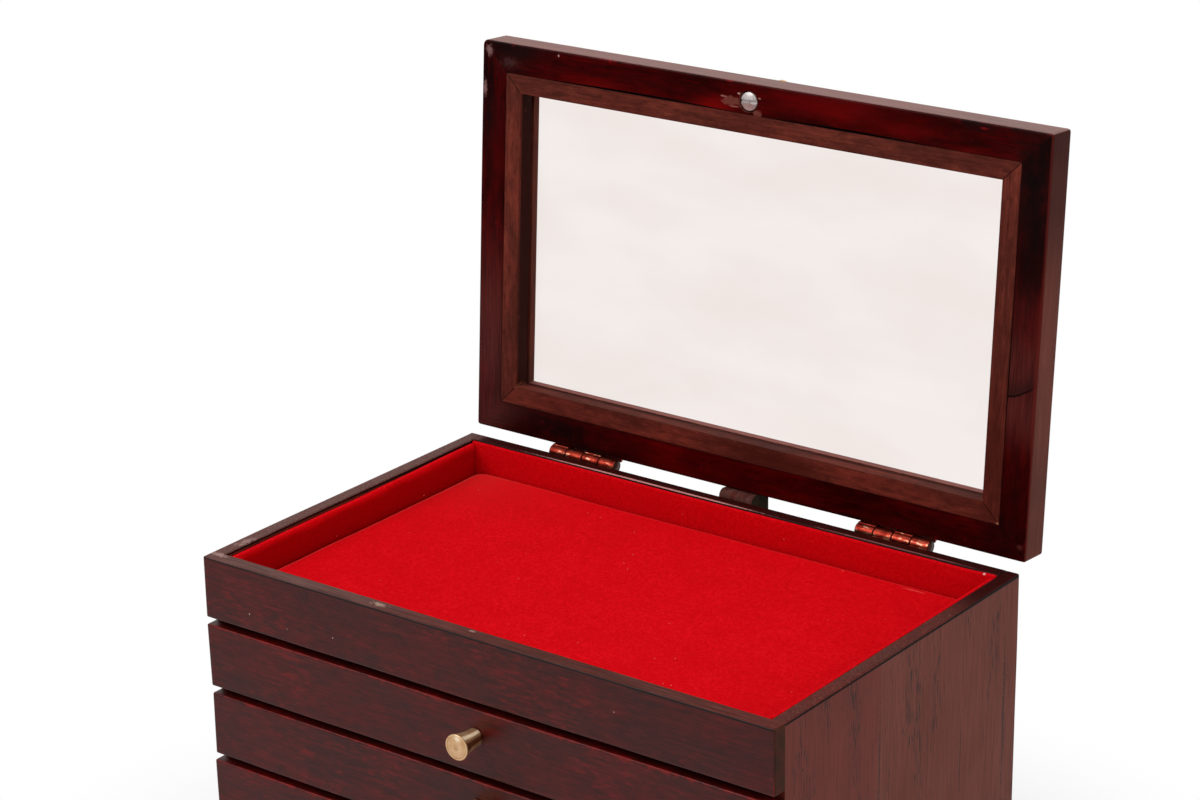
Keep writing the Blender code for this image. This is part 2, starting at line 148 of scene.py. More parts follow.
def shut_corners(node):
    """A lid node's lowest and highest corner once the lid is swung shut."""
    mesh = frame["nodes"][node].data
    flat = np.empty(len(mesh.vertices) * 3)
    mesh.vertices.foreach_get("co", flat)
    points = swung(flat.reshape(-1, 3), LID_SWING)
    return points.min(0), points.max(0)


def ripple(points, seed, length, waves=7):
    """Smooth unevenness of about -1 to 1: sine waves in random directions, near one wavelength."""
    draw = np.random.default_rng(seed)
    ways = draw.normal(size=(waves, 3))
    ways *= (TURN / length / draw.uniform(0.6, 1.7, waves) / np.linalg.norm(ways, axis=1))[:, None]
    return np.sin(points @ ways.T + draw.uniform(0, TURN, waves)).sum(1) / waves**0.5 / 1.4


def ruled(low, high, ease, step, extra=()):
    """Grid lines from low to high: close together near both ends, evenly spaced between them."""
    near = ease * np.array([0.0, 0.28, 0.6, 1.0, 1.45, 2.2, 3.4, 5.4])
    near = near[near < 0.499 * (high - low)]
    count = max(round((high - low - 2 * near[-1]) / step), 1)
    middle = np.linspace(near[-1], high - low - near[-1], count + 1)[1:-1]
    lines = low + np.concatenate([near, middle, high - low - near[::-1]])
    extra = np.asarray(extra, float)
    if len(extra):
        clear = np.abs(lines[:, None] - extra).min(1) > SHARP / 4
        lines = np.sort(np.concatenate([lines[clear], extra]))
    return lines


def box_grid(lines):
    """The six faces of a box as grids on the given lines, with the points that faces share merged."""
    points, faces, count = [], [], 0
    for a, b, c in ((0, 1, 2), (1, 2, 0), (2, 0, 1)):
        u, v = np.meshgrid(lines[b], lines[c], indexing="ij")
        index = np.arange(u.size).reshape(u.shape)
        quads = np.stack([index[:-1, :-1], index[1:, :-1], index[1:, 1:], index[:-1, 1:]], -1).reshape(-1, 4)
        for side, order in ((lines[a][0], quads[:, ::-1]), (lines[a][-1], quads)):
            face = np.empty(u.shape + (3,))
            face[..., a], face[..., b], face[..., c] = side, u, v
            points.append(face.reshape(-1, 3))
            faces.append(order + count)
            count += u.size
    points, faces = np.concatenate(points), np.concatenate(faces)
    _, first, merged = np.unique(np.round(points, 8), axis=0, return_index=True, return_inverse=True)
    return points[first], merged.reshape(-1)[faces]


def eased(points, low, high, ease, joints=()):
    """Points of a box drawn onto one with round edges: each goes to the nearest point of the inner box,
    then out again by the radius. Faces listed as (axis, side) joints stay square."""
    first = np.array(np.broadcast_to(ease, points.shape))
    last = first.copy()
    for axis, side in joints:
        (last if side else first)[:, axis] = 0.0
    inner = np.clip(points, low + first, high - last)
    out = points - inner
    far = np.linalg.norm(out, axis=1, keepdims=True)
    drawn = inner + ease * out / np.where(far > 0, far, 1.0)
    return np.where(far > 0, drawn, points)


def edge_distance(points, low, high, joints=()):
    """How far each point of a box's surface lies from the nearest edge: its second smallest gap to a face.
    Faces listed as joints have no edges."""
    gaps = [points - low, high - points]
    for axis, side in joints:
        gaps[side][:, axis] = np.inf
    return np.sort(np.minimum(*gaps), axis=1)[:, 1]


def rounded_square(u, v, inner, outer):
    """Square rings about a point drawn onto circles, fading back to squares between two half widths."""
    ring, far = np.maximum(np.abs(u), np.abs(v)), np.hypot(u, v)
    share = np.clip((outer - ring) / (outer - inner), 0, 1)
    scale = 1 + share * (np.divide(ring, far, out=np.ones_like(far), where=far > 0) - 1)
    return u * scale, v * scale


def sink_lines(at):
    """Grid lines across a round sinking for a screw head: two close together at its wall."""
    steps = np.array([0.25, 0.5, 0.75, 0.9]) * SINK_RADIUS
    steps = np.concatenate([steps, SINK_RADIUS + np.array([-SHARP, SHARP, 0.5 * SINK_RING, SINK_RING])])
    return np.concatenate([at - steps[::-1], [at], at + steps])


def marks_of(points, low, high, along, seed, worn=(), joints=()):
    """What the finishes read: place along, across and into the grain, distances from the arris and below
    the top in millimetres, and rubbing along the edges listed as two (axis, side) faces and a strength."""
    draw = np.random.default_rng(seed)
    order = [along] + [axis for axis in (0, 1, 2) if axis != along]
    gaps = (points - low, high - points)
    rub = np.zeros(len(points))
    for (axis_a, side_a), (axis_b, side_b), strength in worn:
        distance = np.hypot(gaps[side_a][:, axis_a], gaps[side_b][:, axis_b])
        rub = np.maximum(rub, strength * np.exp(-distance / RUB_REACH))
    return {
        "grain": (points - low)[:, order] + draw.uniform(0, 9, 3),
        "arris": edge_distance(points, low, high, joints) / MM,
        "below": (high[2] - points[:, 2]) / MM,
        "rub": rub,
    }


def sawn_board(low, high, along, seed, ease=BOARD_EASE, step=BOARD_STEP, sway=BOARD_SWAY, worn=(), **shape):
    """A board: a gridded box with round edges whose radius wanders, lightly warped by slow waves.

    extra gives more grid lines for each axis, carve a function that carves the flat points, and joints the
    faces that butt against another board. The waves run on through boards that meet.
    """
    extra, carve, joints = shape.get("extra", {}), shape.get("carve"), shape.get("joints", ())
    ease = min(ease, 0.45 * (high - low).min())
    lines = [ruled(low[a], high[a], ease, step, extra.get(a, ())) for a in range(3)]
    flat, faces = box_grid(lines)
    radius = ease * (0.85 + 0.15 * ripple(flat, seed + 1, 0.035))[:, None]
    points = eased(flat, low, high, radius, joints)
    if carve:
        points = carve(points, flat)
    warp = np.stack([ripple(flat, 2 + axis, 0.11) for axis in range(3)], 1)
    return points + sway * warp, [faces], marks_of(flat, low, high, along, seed, worn, joints)


def joined(*shapes):
    """Several shapes as one mesh."""
    points, faces, marks, count = [], [], {}, 0
    for own_points, own_faces, own_marks in shapes:
        points.append(own_points)
        faces += [f + count for f in own_faces]
        count += len(own_points)
        for key, values in own_marks.items():
            marks.setdefault(key, []).append(values)
    return np.concatenate(points), faces, {key: np.concatenate(values) for key, values in marks.items()}


def turned(profile, sides):
    """A (radius, height) profile from the top of the axis to its foot, carried round +Z."""
    angle = np.linspace(0, TURN, sides, endpoint=False)
    ring = np.stack([np.cos(angle), np.sin(angle)], 1)
    wall = profile[1:-1]
    points = np.empty((len(wall), sides, 3))
    points[..., :2] = wall[:, None, :1] * ring
    points[..., 2] = wall[:, None, 1]
    poles = [[0, 0, profile[0, 1]], [0, 0, profile[-1, 1]]]
    index = np.arange(len(wall) * sides).reshape(-1, sides)
    ahead = np.roll(index, -1, 1)
    quads = np.stack([index[:-1], index[1:], ahead[1:], ahead[:-1]], -1).reshape(-1, 4)
    top = np.full(sides, index.size)
    fans = np.concatenate([
        np.stack([top, index[0], ahead[0]], 1),
        np.stack([top + 1, ahead[-1], index[-1]], 1),
    ])
    return np.concatenate([points.reshape(-1, 3), poles]), [quads, fans]


def carried(sections):
    """A closed section carried through stations, as an array (stations, points round, 3), with both ends
    capped. The faces are turned outwards by the sign of the volume."""
    stations, around, _ = sections.shape
    index = np.arange(stations * around).reshape(stations, around)
    ahead = np.roll(index, -1, 1)
    quads = np.stack([index[:-1], ahead[:-1], ahead[1:], index[1:]], -1).reshape(-1, 4)
    caps = np.stack([index[0][::-1], index[-1]])
    points = sections.reshape(-1, 3)
    a, b, c, d = (points[quads[:, k]] for k in range(4))
    volume = np.einsum("ij,ij->", a, np.cross(b, c)) + np.einsum("ij,ij->", a, np.cross(c, d))
    for cap in caps:
        spokes = points[cap]
        hub = np.broadcast_to(spokes[0], spokes[1:-1].shape)
        volume += np.einsum("ij,ij->", hub, np.cross(spokes[1:-1], spokes[2:]))
    return points, [quads, caps] if volume > 0 else [quads[:, ::-1], caps[:, ::-1]]


def smoothed(corner_points, radius, steps=5):
    """A closed outline with each corner cut round: points on a curve between its two legs."""
    corner_points = np.asarray(corner_points, float)
    before = np.roll(corner_points, 1, 0) - corner_points
    after = np.roll(corner_points, -1, 0) - corner_points
    long_before, long_after = np.linalg.norm(before, axis=1), np.linalg.norm(after, axis=1)
    cut = np.minimum(np.minimum(radius, 0.45 * long_before), 0.45 * long_after)
    start = corner_points + before * (cut / long_before)[:, None]
    end = corner_points + after * (cut / long_after)[:, None]
    t = np.linspace(0, 1, steps)[None, :, None]
    curve = (1 - t) ** 2 * start[:, None] + 2 * t * (1 - t) * corner_points[:, None] + t**2 * end[:, None]
    return curve.reshape(-1, 2)


# Pieces in the scene


def put(name, shape, finish, body, slot, *nodes, trims=()):
    """Makes the mesh of a piece, gives it its finish and sets it on its body in place of CAD nodes. Trims are
    further finishes, each for the faces whose points are all chosen, given with that choice."""
    points, faces = shape[0], shape[1]
    marks = shape[2] if len(shape) > 2 else {}
    mesh = bpy.data.meshes.new(name)
    mesh.vertices.add(len(points))
    mesh.vertices.foreach_set("co", points.astype(np.float32).ravel())
    loops = np.concatenate([f.ravel() for f in faces]).astype(np.int32)
    sizes = np.concatenate([np.full(len(f), f.shape[1]) for f in faces])
    mesh.loops.add(len(loops))
    mesh.loops.foreach_set("vertex_index", loops)
    mesh.polygons.add(len(sizes))
    starts = (np.cumsum(sizes) - sizes).astype(np.int32)
    mesh.polygons.foreach_set("loop_start", starts)
    mesh.polygons.foreach_set("use_smooth", np.ones(len(sizes), bool))
    mesh.materials.append(finish)
    chosen = np.zeros(len(sizes), np.int32)
    for index, (other, choice) in enumerate(trims, 1):
        mesh.materials.append(other)
        chosen[np.logical_and.reduceat(choice[loops], starts)] = index
    mesh.polygons.foreach_set("material_index", chosen)
    mesh.update(calc_edges=True)
    mesh.validate()
    mesh.set_sharp_from_angle(angle=CREASE)
    for key, values in marks.items():
        kind, field = ("FLOAT_VECTOR", "vector") if values.ndim == 2 else ("FLOAT", "value")
        mesh.attributes.new(key, kind, "POINT").data.foreach_set(field, values.astype(np.float32).ravel())
    piece = bpy.data.objects.new(name, mesh)
    bpy.context.scene.collection.objects.link(piece)
    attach(piece, body)
    if nodes:
        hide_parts(*nodes)
    return piece


# Shader building


def shade(red, green, blue):
    """A colour in the usual steps of 0 to 255, as the linear values that a shader takes."""
    steps = np.array([red, green, blue]) / 255
    linear = np.where(steps <= 0.04045, steps / 12.92, ((steps + 0.055) / 1.055) ** 2.4)
    return (*linear.tolist(), 1.0)


def plug(tree, socket, value):
    """Gives a socket a plain value, or a link from another node's output."""
    if isinstance(value, bpy.types.NodeSocket):
        tree.links.new(value, socket)
    else:
        socket.default_value = value


def add(tree, kind, values=None, **settings):
    """A new node with its settings, and values or links for its inputs."""
    made = tree.nodes.new("ShaderNode" + kind)
    for key, value in settings.items():
        setattr(made, key, value)
    for key, value in (values or {}).items():
        plug(tree, made.inputs[key], value)
    return made


def maths(tree, operation, *values, clamp=False):
    """One step of arithmetic on numbers."""
    made = add(tree, "Math", dict(enumerate(values)), operation=operation, use_clamp=clamp)
    return made.outputs[0]


def vectors(tree, operation, *values):
    """One step of arithmetic on vectors."""
    made = add(tree, "VectorMath", dict(enumerate(values)), operation=operation)
    return made.outputs["Value" if operation == "LENGTH" else "Vector"]


def mixed(tree, share, first, second):
    """Two colours mixed by a share of the second."""
    made = add(tree, "Mix", data_type="RGBA", blend_type="MIX")
    for index, value in ((0, share), (6, first), (7, second)):
        plug(tree, made.inputs[index], value)
    return made.outputs[2]


def ramp(tree, value, start, end, low=0.0, high=1.0):
    """A value eased from low to high as it goes from start to end."""
    fields = {"Value": value, "From Min": start, "From Max": end, "To Min": low, "To Max": high}
    return add(tree, "MapRange", fields, interpolation_type="SMOOTHSTEP").outputs[0]


def noise(tree, vector, scale, detail=2.0, rough=0.5):
    """Cloudy noise of 0 to 1 that gathers about a half."""
    fields = {"Vector": vector, "Scale": scale, "Detail": detail, "Roughness": rough}
    return add(tree, "TexNoise", fields).outputs[0]


def place(tree):
    """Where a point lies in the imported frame."""
    return add(tree, "TexCoord").outputs["Object"]


def mark(tree, name, output="Fac"):
    """A mark that the piece's points carry."""
    return add(tree, "Attribute", attribute_name=name).outputs[output]


def new_group(name, inputs, outputs):
    """A shader node group with number or vector inputs, number outputs, and its two end nodes."""
    tree = bpy.data.node_groups.new(name, "ShaderNodeTree")
    for label, value in inputs.items():
        kind = "NodeSocketVector" if isinstance(value, tuple) else "NodeSocketFloat"
        tree.interface.new_socket(label, in_out="INPUT", socket_type=kind).default_value = value
    for label in outputs:
        tree.interface.new_socket(label, in_out="OUTPUT", socket_type="NodeSocketFloat")
    return tree, tree.nodes.new("NodeGroupInput").outputs, tree.nodes.new("NodeGroupOutput").inputs


def use(tree, group, **values):
    """A node group placed in a tree with its own values."""
    made = tree.nodes.new("ShaderNodeGroup")
    made.node_tree = group
    for key, value in values.items():
        plug(tree, made.inputs[key], value)
    return made.outputs


def new_finish(name, **constants):
    """A material with its Principled shader, whose plain values are set on its own sockets."""
    made = bpy.data.materials.new(name)
    made.use_nodes = True
    shader = made.node_tree.nodes["Principled BSDF"]
    for label, value in constants.items():
        shader.inputs[label.replace("_", " ")].default_value = value
    return made, made.node_tree, shader.inputs


def bump(tree, height, strength, distance):
    """A normal tilted by a height that wanders."""
    fields = {"Height": height, "Strength": strength, "Distance": distance}
    return add(tree, "Bump", fields).outputs[0]


def make_wood_figure():
    """Figure of a board, drawn out along its grain: streaks, open pores in rows, clouds of stain, fine fibre,
    a mottle and short dashes in clusters. Each is a noise on the grain's own coordinates, stretched along it;
    pores and dashes lie where it passes an edge that a slower noise moves."""
    inputs = {"Length": 14.0, "Width": 420.0, "Pore Length": 150.0, "Pore Width": 2400.0, "More Pores": 0.0}
    outputs = ("Streaks", "Pores", "Cloud", "Fibre", "Mottle", "Dashes")
    tree, given, out = new_group("wood_figure", inputs, outputs)
    grain = mark(tree, "grain", "Vector")
    sway = noise(tree, vectors(tree, "MULTIPLY", grain, (6.0, 24.0, 24.0)), 1.0, 1.0)
    shift = maths(tree, "MULTIPLY", maths(tree, "SUBTRACT", sway, 0.5), 0.004)
    bent = vectors(tree, "ADD", grain, add(tree, "CombineXYZ", {1: shift, 2: shift}).outputs[0])

    def drawn_out(length, width):
        """The grain's coordinates scaled along it and across it."""
        scale = add(tree, "CombineXYZ", {0: length, 1: width, 2: width}).outputs[0]
        return vectors(tree, "MULTIPLY", bent, scale)

    lines = drawn_out(given["Length"], given["Width"])
    plug(tree, out["Streaks"], ramp(tree, noise(tree, lines, 1.0, 5.0, 0.62), 0.32, 0.68))
    crowd = noise(tree, drawn_out(9.0, 70.0), 1.0, 2.0)
    edge = maths(tree, "SUBTRACT", ramp(tree, crowd, 0.38, 0.68, 0.80, 0.60), given["More Pores"])
    open_pores = noise(tree, drawn_out(given["Pore Length"], given["Pore Width"]), 1.0, 1.0)
    over = maths(tree, "SUBTRACT", open_pores, edge)
    plug(tree, out["Pores"], ramp(tree, over, 0.0, 0.07))
    plug(tree, out["Cloud"], noise(tree, vectors(tree, "MULTIPLY", grain, (17.0, 52.0, 52.0)), 1.0, 4.0, 0.6))
    plug(tree, out["Fibre"], noise(tree, drawn_out(42.0, 1150.0), 1.0, 4.0, 0.68))
    gathered = noise(tree, drawn_out(24.0, 60.0), 1.0, 2.0)
    start = ramp(tree, gathered, 0.36, 0.66, 0.70, 0.46)
    plug(tree, out["Mottle"], noise(tree, drawn_out(130.0, 420.0), 1.0, 5.0, 0.72))
    red = maths(tree, "SUBTRACT", noise(tree, drawn_out(150.0, 640.0), 1.0, 3.0, 0.62), start)
    plug(tree, out["Dashes"], ramp(tree, red, 0.0, 0.16))
    return tree


def make_edge_marks():
    """Marks along a board's edges: a broken thin line on the arris, which is a painted dark reflection, and
    rubbed stretches.
    """
    tree, given, out = new_group("edge_marks", {"Line": 0.7}, ("Line", "Rubbed"))
    spot = place(tree)
    broken = ramp(tree, noise(tree, spot, 95.0, 3.0, 0.6), 0.3, 0.6, 0.45, 1.0)
    line = ramp(tree, maths(tree, "DIVIDE", mark(tree, "arris"), given["Line"]), 0.45, 1.0, 1.0, 0.0)
    plug(tree, out["Line"], maths(tree, "MULTIPLY", line, broken))
    torn = ramp(tree, noise(tree, spot, 120.0, 4.0, 0.7), 0.25, 0.75, -0.5, 0.4)
    ragged = maths(tree, "ADD", mark(tree, "rub"), torn)
    plug(tree, out["Rubbed"], ramp(tree, ragged, 0.25, 0.8))
    return tree


def make_chip():
    """One mark on the wood: 1 inside an ellipsoid about a point, with an edge made ragged by noise."""
    inputs = {"At": (0.0, 0.0, 0.0), "Size": (0.001, 0.001, 0.001), "Ragged": 0.5, "Soft": 0.25}
    tree, given, out = new_group("chip", inputs, ("Mask",))
    spot = place(tree)
    offset = vectors(tree, "SUBTRACT", spot, given["At"])
    away = vectors(tree, "LENGTH", vectors(tree, "DIVIDE", offset, given["Size"]))
    torn = maths(tree, "SUBTRACT", noise(tree, spot, 620.0, 3.0, 0.65), 0.5)
    torn = maths(tree, "MULTIPLY", torn, given["Ragged"])
    depth = maths(tree, "SUBTRACT", 1.0, maths(tree, "ADD", away, torn))
    depth = maths(tree, "DIVIDE", depth, given["Soft"])
    plug(tree, out["Mask"], ramp(tree, depth, 0.0, 1.0))
    return tree


WOOD_FIGURE = make_wood_figure()
EDGE_MARKS = make_edge_marks()
CHIP = make_chip()

# Marks of use and of painted light or shade: place and size in millimetres, colour, share, ragged, soft


def lid_spot(x, along):
    """A place on the open lid's inner face, in millimetres, from its distances across and up from the
    hinges: set down on the shut lid and swung open."""
    shut = np.array([[x * MM, LID_FOOT - along * MM, LID_FACE]])
    return tuple(swung(shut, -LID_SWING)[0] / MM)


LID_FACE = shut_corners("lid_frame_front")[0][2]
LID_FOOT = shut_corners("lid_frame_back")[1][1]
PALE, RED = (206, 170, 160), (138, 16, 14)
FRONT_MARKS = [
    ((-123.8, -92.8, 182.7), (0.4, 0.8, 0.55), PALE, 0.8, 0.9, 0.5),
    ((-102.1, -92.8, 181.1), (0.35, 0.8, 0.3), PALE, 0.5, 0.6, 0.6),
    ((-76.0, -92.8, 183.7), (0.4, 0.8, 0.4), PALE, 0.8, 0.6, 0.5),
    ((73.0, -92.8, 190.1), (0.4, 0.8, 0.35), PALE, 0.7, 0.6, 0.5),
    ((-89.9, -92.8, 200.2), (0.4, 0.8, 3.2), (20, 6, 5), 0.85, 0.7, 0.6),
    ((149.8, -92.6, 178.5), (0.6, 0.6, 4.5), RED, 0.8, 0.8, 0.6),
]
SIDE_MARKS = [
    ((150.0, -73.2, 178.7), (0.8, 0.8, 0.7), (38, 12, 8), 0.85, 0.8, 0.5),
    ((150.0, 27.3, 178.3), (0.8, 0.7, 0.7), (38, 12, 8), 0.85, 0.8, 0.5),
    ((150.0, -28.5, 176.8), (0.8, 0.6, 0.5), (52, 18, 12), 0.7, 0.8, 0.5),
    ((150.0, -17.0, 152.0), (1.0, 0.6, 42.0), (40, 14, 9), 0.85, 2.6, 0.7),
    ((150.0, 46.5, 134.0), (1.0, 0.6, 22.0), (44, 16, 10), 0.85, 2.6, 0.7),
    ((150.0, 82.0, 142.0), (1.0, 1.1, 42.0), (40, 14, 9), 0.85, 2.6, 0.7),
    ((150.0, 93.5, 110.0), (2.0, 3.0, 110.0), (56, 22, 15), 0.7, 0.6, 1.0),
]
RIM_MARKS = [
    ((-52.4, -88.9, 203.7), (5.2, 1.9, 0.9), (168, 140, 122), 0.75, 2.6, 0.6),
    ((-3.0, -87.6, 203.7), (2.4, 1.0, 0.9), (160, 124, 116), 0.7, 1.4, 0.6),
    ((-145.0, -87.4, 203.7), (6.0, 2.2, 0.9), (176, 142, 134), 0.65, 1.8, 0.7),
    ((-145.6, -70.0, 203.7), (2.6, 7.0, 0.9), (164, 132, 124), 0.6, 2.8, 0.7),
    # These two pale lines on the back rim's inner arris are partly wear and partly a painted highlight
    ((-43.0, 86.8, 203.5), (80.0, 0.95, 0.9), (206, 140, 134), 0.85, 0.5, 0.5),
    ((90.0, 86.9, 203.6), (48.0, 0.5, 0.9), (168, 104, 98), 0.5, 0.6, 0.5),
]
LID_MARKS = [
    (lid_spot(-146.0, 181.5), (2.8, 2.0, 3.4), (142, 104, 102), 0.7, 1.7, 0.8),
    (lid_spot(-148.2, 163.7), (1.5, 2.0, 5.4), (156, 118, 114), 0.65, 1.3, 0.8),
    (lid_spot(-106.0, 184.1), (0.6, 2.0, 0.7), PALE, 0.6, 0.8, 0.6),
    (lid_spot(-134.0, 177.3), (6.0, 2.0, 3.0), (72, 54, 52), 0.35, 2.4, 0.8),
    (lid_spot(-10.5, 177.0), (5.6, 2.0, 2.6), (112, 60, 52), 0.8, 1.8, 0.4),
    (lid_spot(-14.4, 178.7), (2.0, 2.0, 0.5), (190, 132, 120), 0.4, 1.5, 0.5),
    (lid_spot(-8.2, 174.9), (3.0, 2.0, 0.4), (186, 128, 116), 0.4, 1.5, 0.5),
    (lid_spot(-6.3, 181.0), (1.0, 2.0, 0.6), (206, 160, 148), 0.6, 1.2, 0.5),
    (lid_spot(4.6, 180.2), (1.0, 2.0, 0.5), (190, 134, 122), 0.4, 1.2, 0.5),
    (lid_spot(3.6, 173.4), (2.6, 2.0, 1.7), (116, 62, 52), 0.75, 1.7, 0.4),
    (lid_spot(117.5, 183.9), (2.6, 2.0, 0.6), RED, 0.5, 2.0, 0.6),
    (lid_spot(146.8, 6.2), (2.4, 2.0, 1.8), (98, 42, 40), 0.5, 2.0, 0.9),
]
VELVET_MARKS = [
    ((128.6, -81.4, 201.6), (2.6, 0.5, 0.8), (236, 170, 160), 0.7, 1.0, 0.5),
    ((137.6, 84.3, 203.4), (0.9, 0.8, 0.8), (238, 186, 176), 0.8, 0.8, 0.5),
    ((105.5, 79.6, 189.6), (7.0, 0.5, 1.2), (236, 120, 112), 0.42, 1.4, 0.5),
]
# Painted shade on the right ends of the hinges' barrels
HINGE_END_SHADE = [
    ((spot[1][0] / MM, HINGE_AT[1] / MM, HINGE_AT[2] / MM), (0.5, 5.0, 5.0), (56, 34, 30), 0.9, 0.1, 0.3)
    for spot in (corners("hinge_left_carcase_leaf"), corners("hinge_right_carcase_leaf"))
]
BEAD_MARKS = [(lid_spot(135.1, 14.4), (1.0, 2.0, 0.9), (172, 116, 84), 0.7, 1.2, 0.6)]
# Painted brown reflection over part of the lid screw's head
SCREW_REFLECTION = [(lid_spot(-1.4, 170.6), (9.0, 6.0, 7.2), (158, 104, 94), 0.7, 0.2, 0.12)]
ARCH_CENTRE = (0.064, -0.0928, 0.2105)


def layered(tree, tone, *layers):
    """Colours laid over a tone one after another, each given as a share and a colour."""
    for share, colour in layers:
        tone = mixed(tree, share, tone, colour)
    return tone


def part(tree, value, amount):
    """So much of a value."""
    return maths(tree, "MULTIPLY", value, amount)


def chips(tree, marks):
    """Layers for single marks, each given as its place and size in millimetres, colour, share, ragged and
    soft."""
    layers = []
    for at, size, colour, share, ragged, soft in marks:
        at, size = (tuple(MM * v for v in lengths) for lengths in (at, size))
        values = {"At": at, "Size": size, "Ragged": ragged, "Soft": soft}
        layers.append((part(tree, use(tree, CHIP, **values)["Mask"], share), shade(*colour)))
    return layers


def wood_surface(tree, shader, wood, rough, span, relief):
    """Roughness that wanders with the fibre, and a bump from streaks, pores and fibre."""
    wander = maths(tree, "ADD", part(tree, wood["Fibre"], 0.5), part(tree, wood["Cloud"], 0.5))
    plug(tree, shader["Roughness"], ramp(tree, wander, 0.3, 0.7, rough - span, rough + span))
    height = maths(tree, "SUBTRACT", part(tree, wood["Streaks"], 0.35), wood["Pores"])
    height = maths(tree, "ADD", height, part(tree, wood["Fibre"], 0.5))
    plug(tree, shader["Normal"], bump(tree, height, relief, 0.00008))


def make_front_lacquer():
    """Red-brown lacquer brushed along the boards: greyer and redder clouds, short red dashes where the
    ground shows, faint arched figure, dark pores, a painted dark reflection as a line on each arris and
    rubbed red edges."""
    made, tree, shader = new_finish("front_lacquer", Specular_IOR_Level=0.25)
    wood = use(tree, WOOD_FIGURE, Length=11.0, Width=330.0)
    edge = use(tree, EDGE_MARKS, Line=0.6)
    spot = place(tree)
    z = add(tree, "SeparateXYZ", {0: spot}).outputs[2]
    offset = vectors(tree, "SUBTRACT", spot, ARCH_CENTRE)
    arch = vectors(tree, "LENGTH", vectors(tree, "MULTIPLY", offset, (18.0, 0.0, 92.0)))
    rings = ramp(tree, noise(tree, add(tree, "CombineXYZ", {0: arch}).outputs[0], 7.0, 2.0), 0.5, 0.62)
    rings = maths(tree, "MULTIPLY", rings, ramp(tree, arch, 0.6, 2.6, 1.0, 0.0))
    tone = mixed(tree, ramp(tree, wood["Cloud"], 0.36, 0.6), shade(68, 15, 10), shade(86, 10, 8))
    tone = layered(
        tree,
        tone,
        (part(tree, wood["Streaks"], 0.3), shade(52, 10, 7)),
        (part(tree, rings, 0.35), shade(40, 9, 6)),
        (part(tree, wood["Dashes"], 0.45), shade(124, 14, 12)),
        (ramp(tree, wood["Mottle"], 0.46, 0.66, 0.0, 0.6), shade(46, 12, 9)),
        (ramp(tree, wood["Mottle"], 0.46, 0.28, 0.0, 0.5), shade(112, 17, 14)),
        (ramp(tree, wood["Fibre"], 0.42, 0.64, 0.0, 0.45), shade(44, 10, 8)),
        (ramp(tree, wood["Fibre"], 0.44, 0.28, 0.0, 0.3), shade(108, 18, 15)),
        (part(tree, wood["Pores"], 0.4), shade(24, 5, 4)),
        # painted reflection: the thin dark line on the arris
        (part(tree, edge["Line"], 0.8), shade(22, 4, 3)),
        (part(tree, edge["Rubbed"], 0.85), shade(124, 14, 11)),
        (ramp(tree, z, 0.2024, 0.2030, 0.0, 0.9), shade(20, 4, 3)),
        *chips(tree, FRONT_MARKS),
    )
    plug(tree, shader["Base Color"], tone)
    wood_surface(tree, shader, wood, 0.40, 0.06, 0.25)
    return made


def make_end_wood():
    """The fronts' sawn ends: dull dark brown, with dots of end grain."""
    made, tree, shader = new_finish("end_wood", Specular_IOR_Level=0.05, Roughness=0.65)
    spot = place(tree)
    dots = ramp(tree, noise(tree, spot, 1500.0, 2.0), 0.5, 0.7)
    cloud = ramp(tree, noise(tree, spot, 160.0, 3.0), 0.35, 0.65)
    tone = mixed(tree, cloud, shade(56, 34, 26), shade(70, 36, 27))
    plug(tree, shader["Base Color"], layered(tree, tone, (part(tree, dots, 0.5), shade(34, 17, 12))))
    plug(tree, shader["Normal"], bump(tree, dots, 0.3, 0.0001))
    return made


def make_side_lacquer():
    """Brown satin stain on upright boards: one plank redder than the next, fine fibre, rows of dark pores, a
    black line under the top arris."""
    made, tree, shader = new_finish("side_lacquer", Specular_IOR_Level=0.15)
    pores = {"Pore Length": 130.0, "Pore Width": 2000.0, "More Pores": 0.06}
    wood = use(tree, WOOD_FIGURE, Length=8.0, Width=300.0, **pores)
    edge = use(tree, EDGE_MARKS, Line=0.7)
    spot = place(tree)
    y = add(tree, "SeparateXYZ", {0: spot}).outputs[1]
    wobble = part(tree, maths(tree, "SUBTRACT", noise(tree, spot, 26.0, 2.0), 0.5), 0.012)
    wavy = maths(tree, "ADD", y, wobble)
    plank = ramp(tree, wavy, -0.0215, -0.0155)
    tone = mixed(tree, plank, shade(103, 35, 23), shade(107, 47, 31))
    line_foot = ramp(tree, wavy, -0.08, 0.09, 1.45, 2.0)
    line = ramp(tree, mark(tree, "below"), 1.3, line_foot, 1.0, 0.0)
    tone = layered(
        tree,
        tone,
        (ramp(tree, wood["Cloud"], 0.35, 0.7, 0.0, 0.35), shade(84, 33, 22)),
        (part(tree, wood["Streaks"], 0.22), shade(82, 30, 20)),
        (ramp(tree, wood["Fibre"], 0.42, 0.66, 0.0, 0.5), shade(74, 26, 17)),
        (part(tree, wood["Pores"], 0.9), shade(32, 11, 8)),
        # painted reflection: the thin dark line on the arris
        (part(tree, edge["Line"], 0.55), shade(46, 14, 10)),
        (part(tree, line, 0.97), shade(9, 2, 2)),
        *chips(tree, SIDE_MARKS),
    )
    plug(tree, shader["Base Color"], tone)
    wood_surface(tree, shader, wood, 0.48, 0.05, 0.3)
    return made


